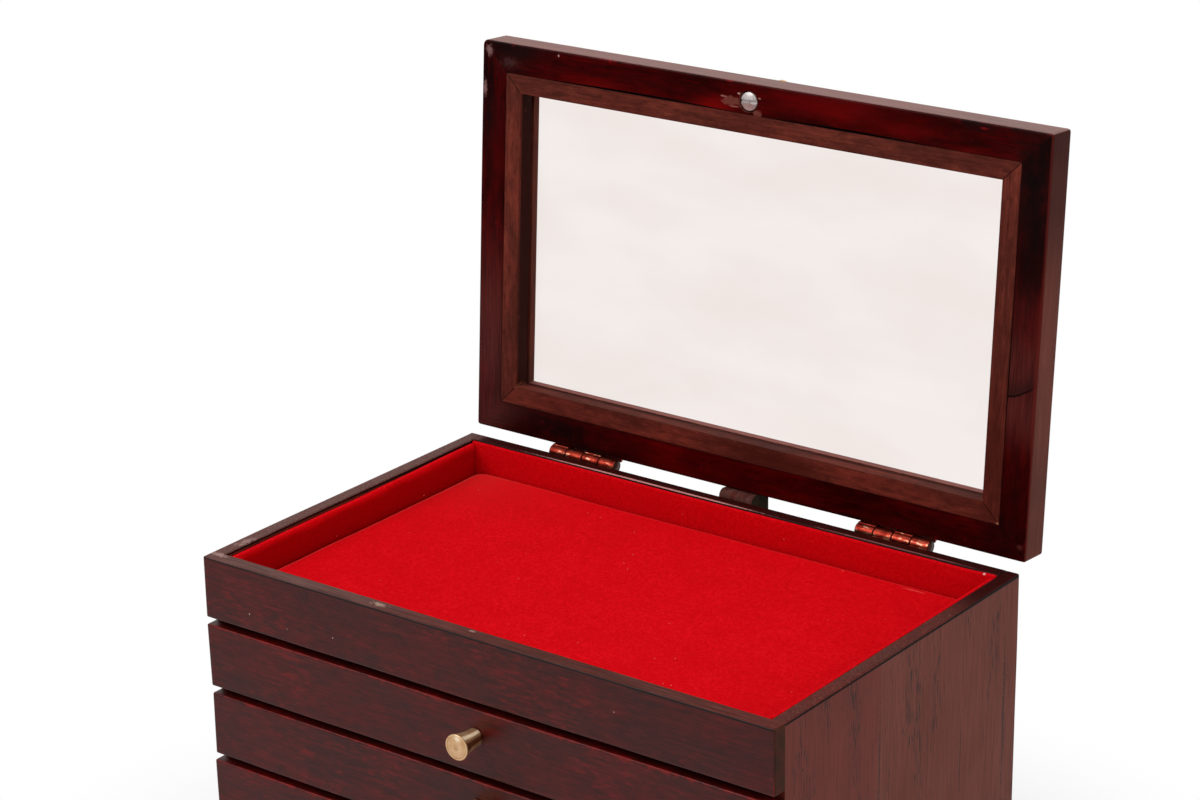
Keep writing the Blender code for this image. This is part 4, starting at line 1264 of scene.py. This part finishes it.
def knob_shape():
    """A turned knob that stands on +Z: a face dimpled by a bell curve, a thin rim, and a trumpet neck whose
    radius falls by a power of the way down, with turned rings. Its painted light is a pale highlight and a
    brown shade about two angles of the neck, and on the face a pale highlight high up less a brown one in
    the dimple."""
    low, high = corners("drawer_1_knob")
    face, tall = (high[0] - low[0]) / 2, high[1] - low[1]
    level = face - 0.35 * MM
    r = np.linspace(0.0, level, 24)
    dimple = 0.2 * MM * np.exp(-((r / (0.9 * MM)) ** 2))
    disc = np.column_stack([r, tall - dimple - 0.05 * MM * (r < 0.9 * level)])
    edge = np.array([
        [face - 0.12 * MM, tall - 0.03 * MM],
        [face, tall - 0.2 * MM],
        [face, tall - KNOB_RIM + 0.15 * MM],
    ])
    t = np.linspace(0, 1, 64)
    flare_top, flare_foot = tall - KNOB_RIM, tall - KNOB_RIM - KNOB_FLARE
    rings = 0.045 * MM * np.cos(TURN * 8 * t) * np.sin(math.pi * t)
    flare = KNOB_NECK + (face - 0.1 * MM - KNOB_NECK) * (1 - t) ** 1.7 + rings
    trumpet = np.column_stack([flare, flare_top + (flare_foot - flare_top) * t])
    foot = np.array([[KNOB_NECK, 0.2 * MM], [KNOB_NECK - 0.2 * MM, 0.0], [0.0, 0.0]])
    profile = np.concatenate([disc, edge, trumpet, foot])
    points, faces = turned(profile, 72)
    radius = np.hypot(points[:, 0], points[:, 1])
    lathe = np.column_stack([radius * 5200, points[:, 2] * 1500, np.zeros(len(points))])
    # Painted light by angle about the knob's axis: a highlight and a shade band round the neck, a highlight
    # high on the face and a darker patch in the dimple
    angle = np.degrees(np.arctan2(points[:, 1], points[:, 0]))
    neck = points[:, 2] < flare_top
    bright, brown = (np.exp(-(((angle - at) / wide) ** 2)) for at, wide in ((55, 15), (12, 19)))
    upper = np.exp(-(((radius / face - 0.72) / 0.2) ** 2) - ((angle - 80) / 20) ** 2)
    dull = 0.4 * np.exp(-((radius / (0.8 * MM)) ** 2))
    polish = np.where(neck, bright - brown - NECK_PAINTED_SHADE, upper - dull + FACE_PAINTED_LIGHT)
    return points, faces, {"lathe": lathe, "polish": polish}


def slotted_head(radius, high, stem, sides=144):
    """A screw head on +Z: a low cap of a sphere with a bevelled rim, and a straight slot sunk where the point
    lies near the X axis."""
    r = np.concatenate([[0.0], np.linspace(0.06, 0.9, 22), [0.905, 0.95, 0.995, 1.0]])
    cap = 3.2 * radius
    dome = np.column_stack([radius * r, high - cap + np.sqrt(cap**2 - (radius * r) ** 2)])
    dome[:, 1] -= 0.5 * high * np.clip((r - 0.9) / 0.1, 0, 1) ** 1.5
    profile = np.concatenate([dome, [[radius, 0.0], [stem[0], 0.0], [stem[0], -stem[1]], [0.0, -stem[1]]]])
    points, faces = turned(profile, sides)
    wide = 0.15 * radius
    cut = np.clip((wide - np.abs(points[:, 1])) / (0.12 * wide) + 0.5, 0, 1) * (points[:, 2] > 0)
    floor = high * 0.4
    points[:, 2] -= cut * np.maximum(points[:, 2] - floor, 0)
    return points, faces, {}


def tipped(shape, spot, way):
    """A shape made on +Z set down at a spot, with +Z turned to -Y, +Y, +Z or -Z."""
    points = shape[0]
    x, y, z = points.T
    turned_points = {"-y": (x, -z, y), "+y": (x, z, -y), "+z": (x, y, z), "-z": (x, -y, -z)}[way]
    return (np.stack(turned_points, 1) + spot, *shape[1:])


def spun(shape, angle):
    """A shape turned about +Z."""
    c, s = math.cos(angle), math.sin(angle)
    x, y, z = shape[0].T
    return (np.stack([c * x - s * y, s * x + c * y, z], 1), *shape[1:])


def opened(shape):
    """A shape made on the shut lid, swung open with it."""
    return (swung(shape[0], -LID_SWING), *shape[1:])


KNOB = knob_shape()
SLOT_TURNS = {1: 0.4, 2: 1.3, 3: -0.5, 4: 0.9, 5: 2.2}
LID_SLOT_TURN = 0.06
for n in DRAWERS:
    name = "drawer_%d" % n
    low, high = corners(name + "_knob")
    spot = np.array([(low[0] + high[0]) / 2, high[1], (low[2] + high[2]) / 2])
    put(name + "_turned_knob", tipped(KNOB, spot, "-y"), BRASS, name, "brass", name + "_knob")
    low, high = corners(name + "_knob_screw")
    head = slotted_head(SCREW_HEAD, SCREW_HEAD_TALL, (SCREW_STEM, DRAWER_SCREW_LONG))
    spot = np.array([(low[0] + high[0]) / 2, high[1] - SCREW_HEAD_TALL, (low[2] + high[2]) / 2])
    screw = tipped(spun(head, SLOT_TURNS[n]), spot, "+y")
    put(name + "_slotted_screw", screw, STEEL, name, "steel", name + "_knob_screw")


# Drawers

for n in DRAWERS:
    name = "drawer_%d" % n
    seed = 100 + 20 * n
    board = front_board(n)
    trims = [(END_WOOD, end_of(board))]
    put(name + "_front_board", board, FRONT_LACQUER, name, "front_lacquer", name + "_front", trims=trims)
    low, high = corners(name + "_box")
    left_high, right_low = high.copy(), low.copy()
    left_high[0], right_low[0] = low[0] + BOX_SIDE, high[0] - BOX_SIDE
    back_low, back_high = low.copy(), high.copy()
    back_low[0], back_high[0], back_low[1] = left_high[0], right_low[0], high[1] - BOX_SIDE
    walls = joined(
        sawn_board(low, left_high, 1, seed, BOX_EASE, BOX_STEP, 0.0),
        sawn_board(right_low, high, 1, seed + 1, BOX_EASE, BOX_STEP, 0.0),
        sawn_board(back_low, back_high, 0, seed + 2, BOX_EASE, BOX_STEP, 0.0),
    )
    put(name + "_walls", walls, INNER_WOOD, name, "inner_wood", name + "_box")
    floor = plain_board(name + "_bottom", 0, seed + 3, ease=BOX_FLOOR_EASE, step=BOX_FLOOR_STEP, sway=0.0)
    put(name + "_floor", floor, INNER_WOOD, name, "inner_wood", name + "_bottom")
    pad = wadded_pad(name + "_pad", seed + 4)
    put(name + "_cushion", pad, VELVET, name, "velvet", name + "_pad")


# Lid

FRAME_CORNERS = np.array([shut_corners("lid_frame_" + side) for side in SIDES])
FRAME_LOW, FRAME_HIGH = FRAME_CORNERS[:, 0].min(0), FRAME_CORNERS[:, 1].max(0)
BEAD_LOW, BEAD_HIGH = shut_corners("glass_bead_front")
GLASS_TOP = shut_corners("lid_glass")[1][2]
GLASS_PLAY = 0.3 * MM
INNER_FACE, OUTER_FACE = FRAME_LOW[2], FRAME_HIGH[2]
MARGIN = BEAD_LOW[1] - FRAME_LOW[1]
LIP = BEAD_HIGH[1] - FRAME_LOW[1]
FRAME_ROUNDS = np.array([0.9, 0.12, 0.1, 0.2, 0.4, 0.8]) * MM
FRAME_STEP = 2.2 * MM
FRAME_SWAY = 0.1 * MM
BEAD_ROUNDS = np.array([0.2, 0.35, 0.1, 0.1]) * MM
BEAD_STEP = 1.5 * MM
FACE_TRIM = 0.45 * MM
EDGE_TRIM = 0.6 * MM
SEAM_DEEP = 0.3 * MM
CORNER_ROUND = 1.3 * MM
WORN_CORNER_ROUND = 2.8 * MM
SCREW_LOW, SCREW_HIGH = shut_corners("lid_knob_screw")
SCREW_X, SCREW_Y = ((SCREW_LOW + SCREW_HIGH) / 2)[:2]


def filled(outline, step):
    """A closed outline with points set in along its long legs, no further apart than the step."""
    after = np.roll(outline, -1, 0)
    counts = np.maximum(np.ceil(np.linalg.norm(after - outline, axis=1) / step).astype(int), 1)
    leg = np.repeat(np.arange(len(outline)), counts)
    share = (np.arange(len(leg)) - np.repeat(np.cumsum(counts) - counts, counts)) / counts[leg]
    return outline[leg] + (after - outline)[leg] * share[:, None]


def rounded_plan(points):
    """The lid's outer corners in plan: square rings about each corner's centre drawn onto circles, wider at
    the front left one, which is worn rounder."""
    middle, half = (FRAME_LOW + FRAME_HIGH)[:2] / 2, (FRAME_HIGH - FRAME_LOW)[:2] / 2
    away = points[:, :2] - middle
    radius = np.where((away < 0).all(1), WORN_CORNER_ROUND, CORNER_ROUND)[:, None]
    past = np.abs(away) - (half - radius)
    corner = (past > 0).all(1)
    square, far = past[corner].max(1), np.hypot(*past[corner].T)
    drawn = past[corner] * (square / far)[:, None]
    points[corner, :2] = middle + np.sign(away[corner]) * (half - radius[corner] + drawn)
    return points


def mitred_bar(outline, side, stations, seed):
    """A moulding with 45 degree ends: the outline of (in from the edge, up from the inner face) carried
    along one side of the lid, each point stopping short of the corner by its distance in."""
    half = (FRAME_HIGH - FRAME_LOW)[:2] / 2
    middle = (FRAME_LOW + FRAME_HIGH) / 2
    length, reach = (half[0], half[1]) if side in ("front", "back") else (half[1], half[0])
    deep, up = outline.T
    run = stations[:, None] * (length - deep)[None]
    across = np.broadcast_to(deep - reach, run.shape)
    height = np.broadcast_to(INNER_FACE + up, run.shape)
    plan = ((run, across), (-across, run), (-run, -across), (across, -run))[SIDES.index(side)]
    sections = np.stack([plan[0] + middle[0], plan[1] + middle[1], height], -1)
    points, faces = carried(sections)
    draw = np.random.default_rng(seed)
    grain = np.stack([run, across, height], -1).reshape(-1, 3) + draw.uniform(0, 9, 3)
    deep, up = (np.tile(values, len(stations)) for values in (deep, up))
    return points, faces, {"grain": grain}, run.ravel(), deep, up


def along_bar(extra=()):
    """Stations from one end of a bar to the other, as shares of its half length, closer at both ends."""
    ends = 1 - np.array([0.0, 0.004, 0.010, 0.018, 0.03, 0.05])
    return np.unique(np.concatenate([-ends, np.linspace(-0.92, 0.92, 60), ends, np.asarray(extra, float)]))


# Soft blots on the lid: place across and up from the hinges and half widths in millimetres, and strength
# The first list is painted reflection, a pale veil over the dark lacquer
SHEEN_BLOTS = [
    (-143, 48, 12, 34, 0.95), (-140, 8, 12, 14, 0.75), (143, 84, 16, 18, 0.8),
    (143, 66, 16, 14, 0.9), (143, 106, 14, 16, 0.3), (-134, 178, 8, 5, 0.3),
]
SMOKED = [
    (143, 158, 14, 34, 1.0), (-129, 184, 17, 4, 0.85), (114, 185, 11, 3, 1.0),
    (137, 185, 12, 2, 0.8), (146, 181, 5, 6, 0.8), (138, 10, 12, 14, 0.8),
    (-146, 152, 6, 24, 0.6), (-95, 7, 34, 10, 0.95), (98, 5, 30, 9, 0.4),
    (142, 30, 9, 15, 0.6), (152, 186, 6, 45, 1.0),
]
BEAD_DARK = [
    (16, 18, 24, 7, 0.65), (132, 40, 9, 44, 0.6), (-70, 168, 18, 6, 0.3),
    (-5, 166, 14, 6, 0.45), (95, 167, 16, 6, 0.15), (-108, 18, 20, 7, 0.3),
]
GLOWS = [
    (-47, 179, 14, 6, 0.15), (58, 180, 44, 8, 0.4), (-20, 174, 11, 4, 0.75),
    (-83, 174, 14, 3, 0.4), (108, 173, 10, 2, 0.45), (132, 173, 5, 2, 0.4),
    (-22, 7, 50, 9, 0.25), (-143, 124, 8, 16, 0.15),
]
RUBBED = [(-74, 186, 16, 4, 0.35), (-9, 186, 12, 4, 0.8)]
# Open stretches of the seam between frame and bead, painted black as its shade: middle, half length and width
# in millimetres
OPEN_SEAMS = {"front": [(-61, 55, 1.0), (50, 44, 1.0)], "right": [(80, 44, 0.45)]}
CLOSED_SEAM = -0.2


def blots(x, along, spots):
    """Soft blots on the lid: the largest of several bell curves, each given in millimetres as its place, its
    half widths and its strength."""
    bells = [
        strength * np.exp(-(((x / MM - a) / wide) ** 2) - (((along / MM - b) / tall) ** 2))
        for a, b, wide, tall, strength in spots
    ]
    return np.max(bells, 0)


def lid_marks(points, side, deep, up):
    """Painted reflection, soot, red glow and worn arris by place on the lid, and how far each point lies
    outside the open seam between frame and bead: its width is a parabola along each stretch."""
    x, along = points[:, 0], FRAME_HIGH[1] - points[:, 1]
    way = (along if side == "right" else x) / MM
    stretches = [w * (1 - ((way - at) / half) ** 2) for at, half, w in OPEN_SEAMS.get(side, [])]
    wide = np.max([np.full(len(x), CLOSED_SEAM)] + stretches, 0)
    worn = {"front": 0.18 + blots(x, along, RUBBED), "right": 0.12}.get(side, 0.2)
    return {
        "seam": np.where(up < SEAM_DEEP, (MARGIN - deep) / MM - wide, 1.0),
        "haze": blots(x, along, SHEEN_BLOTS),
        "soot": blots(x, along, SMOKED),
        "glow": blots(x, along, GLOWS),
        "along": along / MM,
        "rub": worn * np.exp(-np.hypot(deep, up) / ((0.45 if side == "right" else 0.8) * MM)),
    }


def inner_side(shape):
    """Points of a lid bar that lie on its inner face, before the lid is swung open or after."""
    return swung(shape[0], LID_SWING)[:, 2] < INNER_FACE + FACE_TRIM


def front_edge(shape):
    """Points of the front bar that lie on its outer edge."""
    return swung(shape[0], LID_SWING)[:, 1] < FRAME_LOW[1] + EDGE_TRIM


def frame_bar(side, seed):
    """One side of the lid's frame: face, rounded outer edges, and the rebate for glass and bead. The front
    bar is sunk for the knob's screw."""
    rebate = GLASS_TOP + GLASS_PLAY - INNER_FACE
    tall = OUTER_FACE - INNER_FACE
    legs = [(0, 0), (MARGIN, 0), (MARGIN, rebate), (LIP, rebate), (LIP, tall), (0, tall)]
    outline = filled(smoothed(legs, FRAME_ROUNDS, 6), FRAME_STEP)
    extra = ()
    if side == "front":
        half = (FRAME_HIGH - FRAME_LOW)[0] / 2
        at = SCREW_Y - FRAME_LOW[1]
        on_face = np.abs(outline[:, 1]) < TOUCHING
        clear = np.abs(outline[:, 0] - at) > SINK_RADIUS + 1.1 * SINK_RING
        level = np.sort(np.concatenate([outline[on_face & clear, 0], sink_lines(at)]))
        rest = outline[~on_face]
        rest = np.roll(rest, -np.argmax(rest[:, 0] > MARGIN / 2), 0)
        outline = np.concatenate([np.column_stack([level, np.zeros(len(level))]), rest])
        extra = sink_lines(SCREW_X) / (half - at)
    points, faces, marks, run, deep, up = mitred_bar(outline, side, along_bar(extra), seed)
    if side == "front":
        u, v = run - SCREW_X, deep - at
        face = up < TOUCHING
        new_u, new_v = rounded_square(u, v, SINK_RADIUS, SINK_RADIUS + SINK_RING)
        near = face & (np.maximum(np.abs(u), np.abs(v)) < SINK_RADIUS + 0.98 * SINK_RING)
        points[near, 0] += (new_u - u)[near]
        points[near, 1] += (new_v - v)[near]
        points[face & (np.maximum(np.abs(u), np.abs(v)) < SINK_RADIUS), 2] += SINK_DEEP
    edges = np.array([[0, 0], [MARGIN, 0], [0, tall]])
    marks["arris"] = np.min([np.hypot(deep - a, up - b) for a, b in edges], 0) / MM
    marks["lip"] = ((deep > LIP - 0.3 * MM) & (up > rebate) & (side == "back")).astype(float)
    marks.update(lid_marks(points, side, deep, up))
    points = rounded_plan(points)
    warp = np.stack([ripple(points, 230 + axis, 0.12) for axis in range(3)], 1)
    return opened((points + FRAME_SWAY * warp, faces, marks))


def bead_bar(side, seed):
    """A glazing bead: a small moulding flush with the frame, mitred at its ends."""
    tall = BEAD_HIGH[2] - INNER_FACE
    legs = [(MARGIN, 0), (LIP, 0), (LIP, tall), (MARGIN, tall)]
    outline = filled(smoothed(legs, BEAD_ROUNDS, 5), BEAD_STEP)
    points, faces, marks, run, deep, up = mitred_bar(outline, side, along_bar(), seed)
    edges = np.array([[MARGIN, 0], [LIP, 0]])
    marks["arris"] = np.min([np.hypot(deep - a, up - b) for a, b in edges], 0) / MM
    end = (FRAME_HIGH - FRAME_LOW)[0 if side in ("front", "back") else 1] / 2 - deep - np.abs(run)
    marks["rub"] = 0.75 * np.exp(-end / (0.8 * MM)) * np.exp(-(LIP - deep) / (2.5 * MM))
    # Painted shade: darker up the wall towards the glass, on the left bead over nearly all of it
    marks["wall"] = np.clip(up / MM - (0.35 if side == "left" else 0.75 * tall / MM), 0, 1)
    marks["mitre"] = end / MM
    x, along = points[:, 0], FRAME_HIGH[1] - points[:, 1]
    marks["soot"] = blots(x, along, BEAD_DARK)
    return opened((points, faces, marks))


for seed, side in enumerate(SIDES):
    bar = frame_bar(side, 210 + 9 * seed)
    trims = [(LID_LACQUER, inner_side(bar))]
    if side == "front":
        # the front bar's outer edge takes the copy with painted light
        trims.insert(0, (LID_LIT_EDGE_LACQUER, front_edge(bar)))
    put("lid_rail_" + side, bar, LID_EDGE_LACQUER, "lid", "lid_lacquer", "lid_frame_" + side, trims=trims)
    put("bead_" + side, bead_bar(side, 260 + 9 * seed), BEAD_WOOD, "lid", "bead_wood", "glass_bead_" + side)
pane = frame["nodes"]["lid_glass"]
pane.data.materials.clear()
pane.data.materials.append(GLASS)

low, high = shut_corners("lid_knob")
spot = np.array([(low[0] + high[0]) / 2, (low[1] + high[1]) / 2, low[2]])
put("lid_turned_knob", opened(tipped(KNOB, spot, "+z")), BRASS, "lid", "brass", "lid_knob")
head = slotted_head(SCREW_HEAD, SCREW_HEAD_TALL, (SCREW_STEM, LID_SCREW_LONG))
spot = np.array([SCREW_X, SCREW_Y, SCREW_LOW[2] + SCREW_HEAD_TALL])
screw = opened(tipped(spun(head, LID_SLOT_TURN), spot, "-z"))
put("lid_slotted_screw", screw, STEEL, "lid", "steel", "lid_knob_screw")


# Hinges and the stop


def leaf_shape(side, first, up):
    """A hinge leaf about its axis: a plate curled into a barrel, carried along the hinge. Between its own
    knuckles the curl folds down onto the plate's lipped edge, which leaves room for the other leaf's."""
    low, high = corners("hinge_%s_carcase_leaf" % side)
    near = low[1] - HINGE_AT[1]
    foot = low[2] - HINGE_AT[2]
    outer = near + LEAF
    reach = BARREL + LEAF_PLAY
    meet = math.acos(outer / BARREL)
    angle = np.linspace(math.pi, -meet, 40)
    length = high[0] - low[0]
    knuckle = length / KNUCKLES

    def section(radius):
        """Up the plate's near side, round a barrel of this radius and down the plate's far side."""
        near_side = [[near, foot], [near, -reach], [near, -0.2 * MM], [near + 0.2 * MM, 0.0]]
        curl = radius * np.stack([np.cos(angle), np.sin(angle)], 1)
        return np.concatenate([near_side, curl, [[outer, -reach], [outer, foot]]])

    full, slim = section(BARREL), section(BARREL - BARREL_BEVEL)
    folded = full.copy()
    curl = slice(2, len(full) - 2)
    share = np.linspace(0, 1, len(full[curl]))
    folded[curl] = np.column_stack([near + (outer + FOLD_LIP - near) * share, np.full(len(share), -reach)])
    folded[-2, 1] -= FOLD_DROP
    stations = []
    for index in range(KNUCKLES):
        a = low[0] + index * knuckle + KNUCKLE_GAP
        b = low[0] + (index + 1) * knuckle - KNUCKLE_GAP
        if index % 2 == first:
            stations += [(a, slim, 1), (a + KNUCKLE_BEVEL, full, 1), (a + KNUCKLE_GRIME, full, 0)]
            stations += [(b - KNUCKLE_GRIME, full, 0), (b - KNUCKLE_BEVEL, full, 1), (b, slim, 1)]
        else:
            a -= LEAF_PLAY * (index > 0)
            b += LEAF_PLAY * (index < KNUCKLES - 1)
            stations += [(a, folded, 0), (b, folded, 0)]
    sections = np.stack([
        np.column_stack([np.full(len(s), x), s[:, 0] + HINGE_AT[1], up * s[:, 1] + HINGE_AT[2]])
        for x, s, _ in stations
    ])
    rub = np.repeat([float(grime) for *_, grime in stations], len(full))
    return (*carried(sections), {"rub": rub})


def leaf_screws(side, up):
    """Three slotted screw heads let into a leaf's plate."""
    low, high = corners("hinge_%s_carcase_leaf" % side)
    head = slotted_head(LEAF_SCREW, LEAF_SCREW_TALL, (1.0 * MM, 1.0 * MM), 48)
    middle, y = (low[0] + high[0]) / 2, low[1] + LEAF - 0.2 * MM
    spots = [np.array([middle + x * MM, y, HINGE_AT[2] - up * z * MM]) for x, z in LEAF_SCREWS_AT]
    return joined(*(tipped(spun(head, 0.9 * k + up), spot, "+y") for k, spot in enumerate(spots)))


for side in ("left", "right"):
    name = "hinge_" + side
    fixed, swinging = leaf_shape(side, 1, 1), opened(leaf_shape(side, 0, -1))
    put(name + "_fixed_leaf", fixed, HINGE_BRASS, "carcase", "hinge_brass", name + "_carcase_leaf")
    put(name + "_swing_leaf", swinging, HINGE_BRASS, "lid", "hinge_brass", name + "_lid_leaf")
    put(name + "_fixed_screws", leaf_screws(side, 1), STEEL, "carcase", "steel")
    put(name + "_swing_screws", opened(leaf_screws(side, -1)), STEEL, "lid", "steel")
    low, high = corners(name + "_pin")
    half, radius = (high[0] - low[0]) / 2, (high[2] - low[2]) / 2
    profile = np.array([
        [0, half + 0.1 * MM],
        [radius * 0.8, half + 0.05 * MM],
        [radius, half - 0.2 * MM],
        [radius, 0.2 * MM - half],
        [radius * 0.8, -half - 0.05 * MM],
        [0, -half - 0.1 * MM],
    ])
    points, faces = turned(profile, 24)
    pin = (points[:, [2, 0, 1]] + (low + high) / 2, faces)
    put(name + "_round_pin", pin, HINGE_BRASS, "carcase", "hinge_brass", name + "_pin")


def stop_shape():
    """The block that the open lid leans on: its section carried along X. The top is a curve about the hinge
    axis, then a flat at the open lid's angle."""
    low, high = corners("lid_stop")
    lean = LID_SWING - math.pi / 2
    radius = HINGE_AT[1] - low[1]
    angle = np.linspace(math.pi, math.pi / 2 - lean, 16)
    curve = HINGE_AT[1:] + radius * np.stack([np.cos(angle), np.sin(angle)], 1)
    far_top = curve[-1, 1] - math.tan(lean) * (high[1] - curve[-1, 0])
    chamfer = [(high[1], low[2] + STOP_CHAMFER), (high[1] - STOP_CHAMFER, low[2])]
    block = smoothed([(high[1], far_top), *chamfer, (low[1], low[2])], STOP_ROUNDS, 4)
    outline = filled(np.concatenate([curve, block]), 2.5 * MM)
    x = ruled(low[0], high[0], 0.6 * MM, 3 * MM)
    sections = np.stack([np.column_stack([np.full(len(outline), k), outline]) for k in x])
    points, faces = carried(sections)
    marks = marks_of(np.clip(points, low, high), low, high, 2, 301)
    # Painted shade on the block's two ends
    marks["wall"] = (np.minimum(points[:, 0] - low[0], high[0] - points[:, 0]) < 0.05 * MM).astype(float)
    return points, faces, marks


put("lid_rest_block", stop_shape(), STOP_WOOD, "carcase", "side_lacquer", "lid_stop")


# Stage

LAMP_AIM = (0.0, 0.0, 0.15)
CAMERA_ROLL = math.radians(-0.951)


def make_floor():
    """A pale floor that stays near white to the eye and keeps the chest's shadow."""
    reach, level = 6.0, -0.3 * MM
    plan = ((-reach, -reach), (reach, -reach), (reach, reach), (-reach, reach))
    mesh = bpy.data.meshes.new("floor")
    mesh.from_pydata([(*spot, level) for spot in plan], [], [(0, 1, 2, 3)])
    made = bpy.data.materials.new("floor_paper")
    made.use_nodes = True
    tree = made.node_tree
    tree.nodes.clear()
    path = add(tree, "LightPath").outputs
    seen = maths(tree, "MAXIMUM", path["Is Camera Ray"], path["Is Transmission Ray"])
    spot = place(tree)
    far = vectors(tree, "LENGTH", spot)
    y = add(tree, "SeparateXYZ", {0: spot}).outputs[1]
    gloss = maths(tree, "MULTIPLY", path["Is Glossy Ray"], ramp(tree, y, -1.05, -0.65, 0.04, 0.8))
    strength = maths(tree, "MAXIMUM", seen, gloss)
    lit = add(tree, "BsdfDiffuse", {"Color": (0.86, 0.86, 0.86, 1.0)})
    glow = add(tree, "Emission", {"Color": (1.0, 1.0, 1.0, 1.0), "Strength": strength})
    share = maths(tree, "MULTIPLY", seen, ramp(tree, far, 0.18, 0.36, 0.6, 1.0))
    share = maths(tree, "MAXIMUM", share, path["Is Glossy Ray"])
    mix = add(tree, "MixShader", {0: share, 1: lit.outputs[0], 2: glow.outputs[0]})
    out = tree.nodes.new("ShaderNodeOutputMaterial")
    tree.links.new(mix.outputs[0], out.inputs[0])
    mesh.materials.append(made)
    floor = bpy.data.objects.new("floor", mesh)
    bpy.context.scene.collection.objects.link(floor)


def make_world():
    """White to the eye, through glass and in gloss from behind; a soft even light on everything else."""
    world = bpy.data.worlds.new("studio")
    bpy.context.scene.world = world
    world.use_nodes = True
    tree = world.node_tree
    tree.nodes.clear()
    path = add(tree, "LightPath").outputs
    seen = maths(tree, "MAXIMUM", path["Is Camera Ray"], path["Is Transmission Ray"])
    y = add(tree, "SeparateXYZ", {0: add(tree, "TexCoord").outputs["Generated"]}).outputs[1]
    gloss = maths(tree, "MULTIPLY", path["Is Glossy Ray"], ramp(tree, y, -0.35, 0.15, 0.25, 1.0))
    strength = maths(tree, "MAXIMUM", maths(tree, "MAXIMUM", seen, gloss), 0.32)
    sky = add(tree, "Background", {"Color": (1.0, 1.0, 1.0, 1.0), "Strength": strength})
    out = tree.nodes.new("ShaderNodeOutputWorld")
    tree.links.new(sky.outputs[0], out.inputs[0])


def softbox(name, spot, size, watts):
    """A square lamp at a spot, aimed at the chest."""
    lamp = bpy.data.lights.new(name, "AREA")
    lamp.shape = "SQUARE"
    lamp.size = size
    lamp.energy = watts
    holder = bpy.data.objects.new(name, lamp)
    holder.location = spot
    holder.rotation_euler = (Vector(LAMP_AIM) - Vector(spot)).to_track_quat("-Z", "Y").to_euler()
    bpy.context.scene.collection.objects.link(holder)


def make_camera():
    """The photograph's camera: its place, its aim, its small roll and its lens."""
    spot = Vector((0.77275, -1.01735, 0.74491))
    ahead = Vector((-0.56919, 0.74743, -0.34259))
    camera = bpy.data.cameras.new("camera")
    camera.sensor_width = 36.0
    camera.lens = 96.68
    camera.clip_start, camera.clip_end = 0.05, 50.0
    holder = bpy.data.objects.new("camera", camera)
    holder.rotation_mode = "QUATERNION"
    holder.location = spot
    holder.rotation_quaternion = ahead.to_track_quat("-Z", "Y") @ Quaternion((0, 0, 1), CAMERA_ROLL)
    bpy.context.scene.collection.objects.link(holder)
    bpy.context.scene.camera = holder


make_floor()
make_world()
softbox("key_softbox", (-0.9, -1.3, 1.35), 1.1, 15.0)
softbox("top_softbox", (0.1, -0.1, 1.75), 1.3, 11.0)
softbox("side_softbox", (1.6, -0.2, 0.9), 0.9, 9.0)
make_camera()
bpy.context.scene.view_settings.view_transform = "Standard"
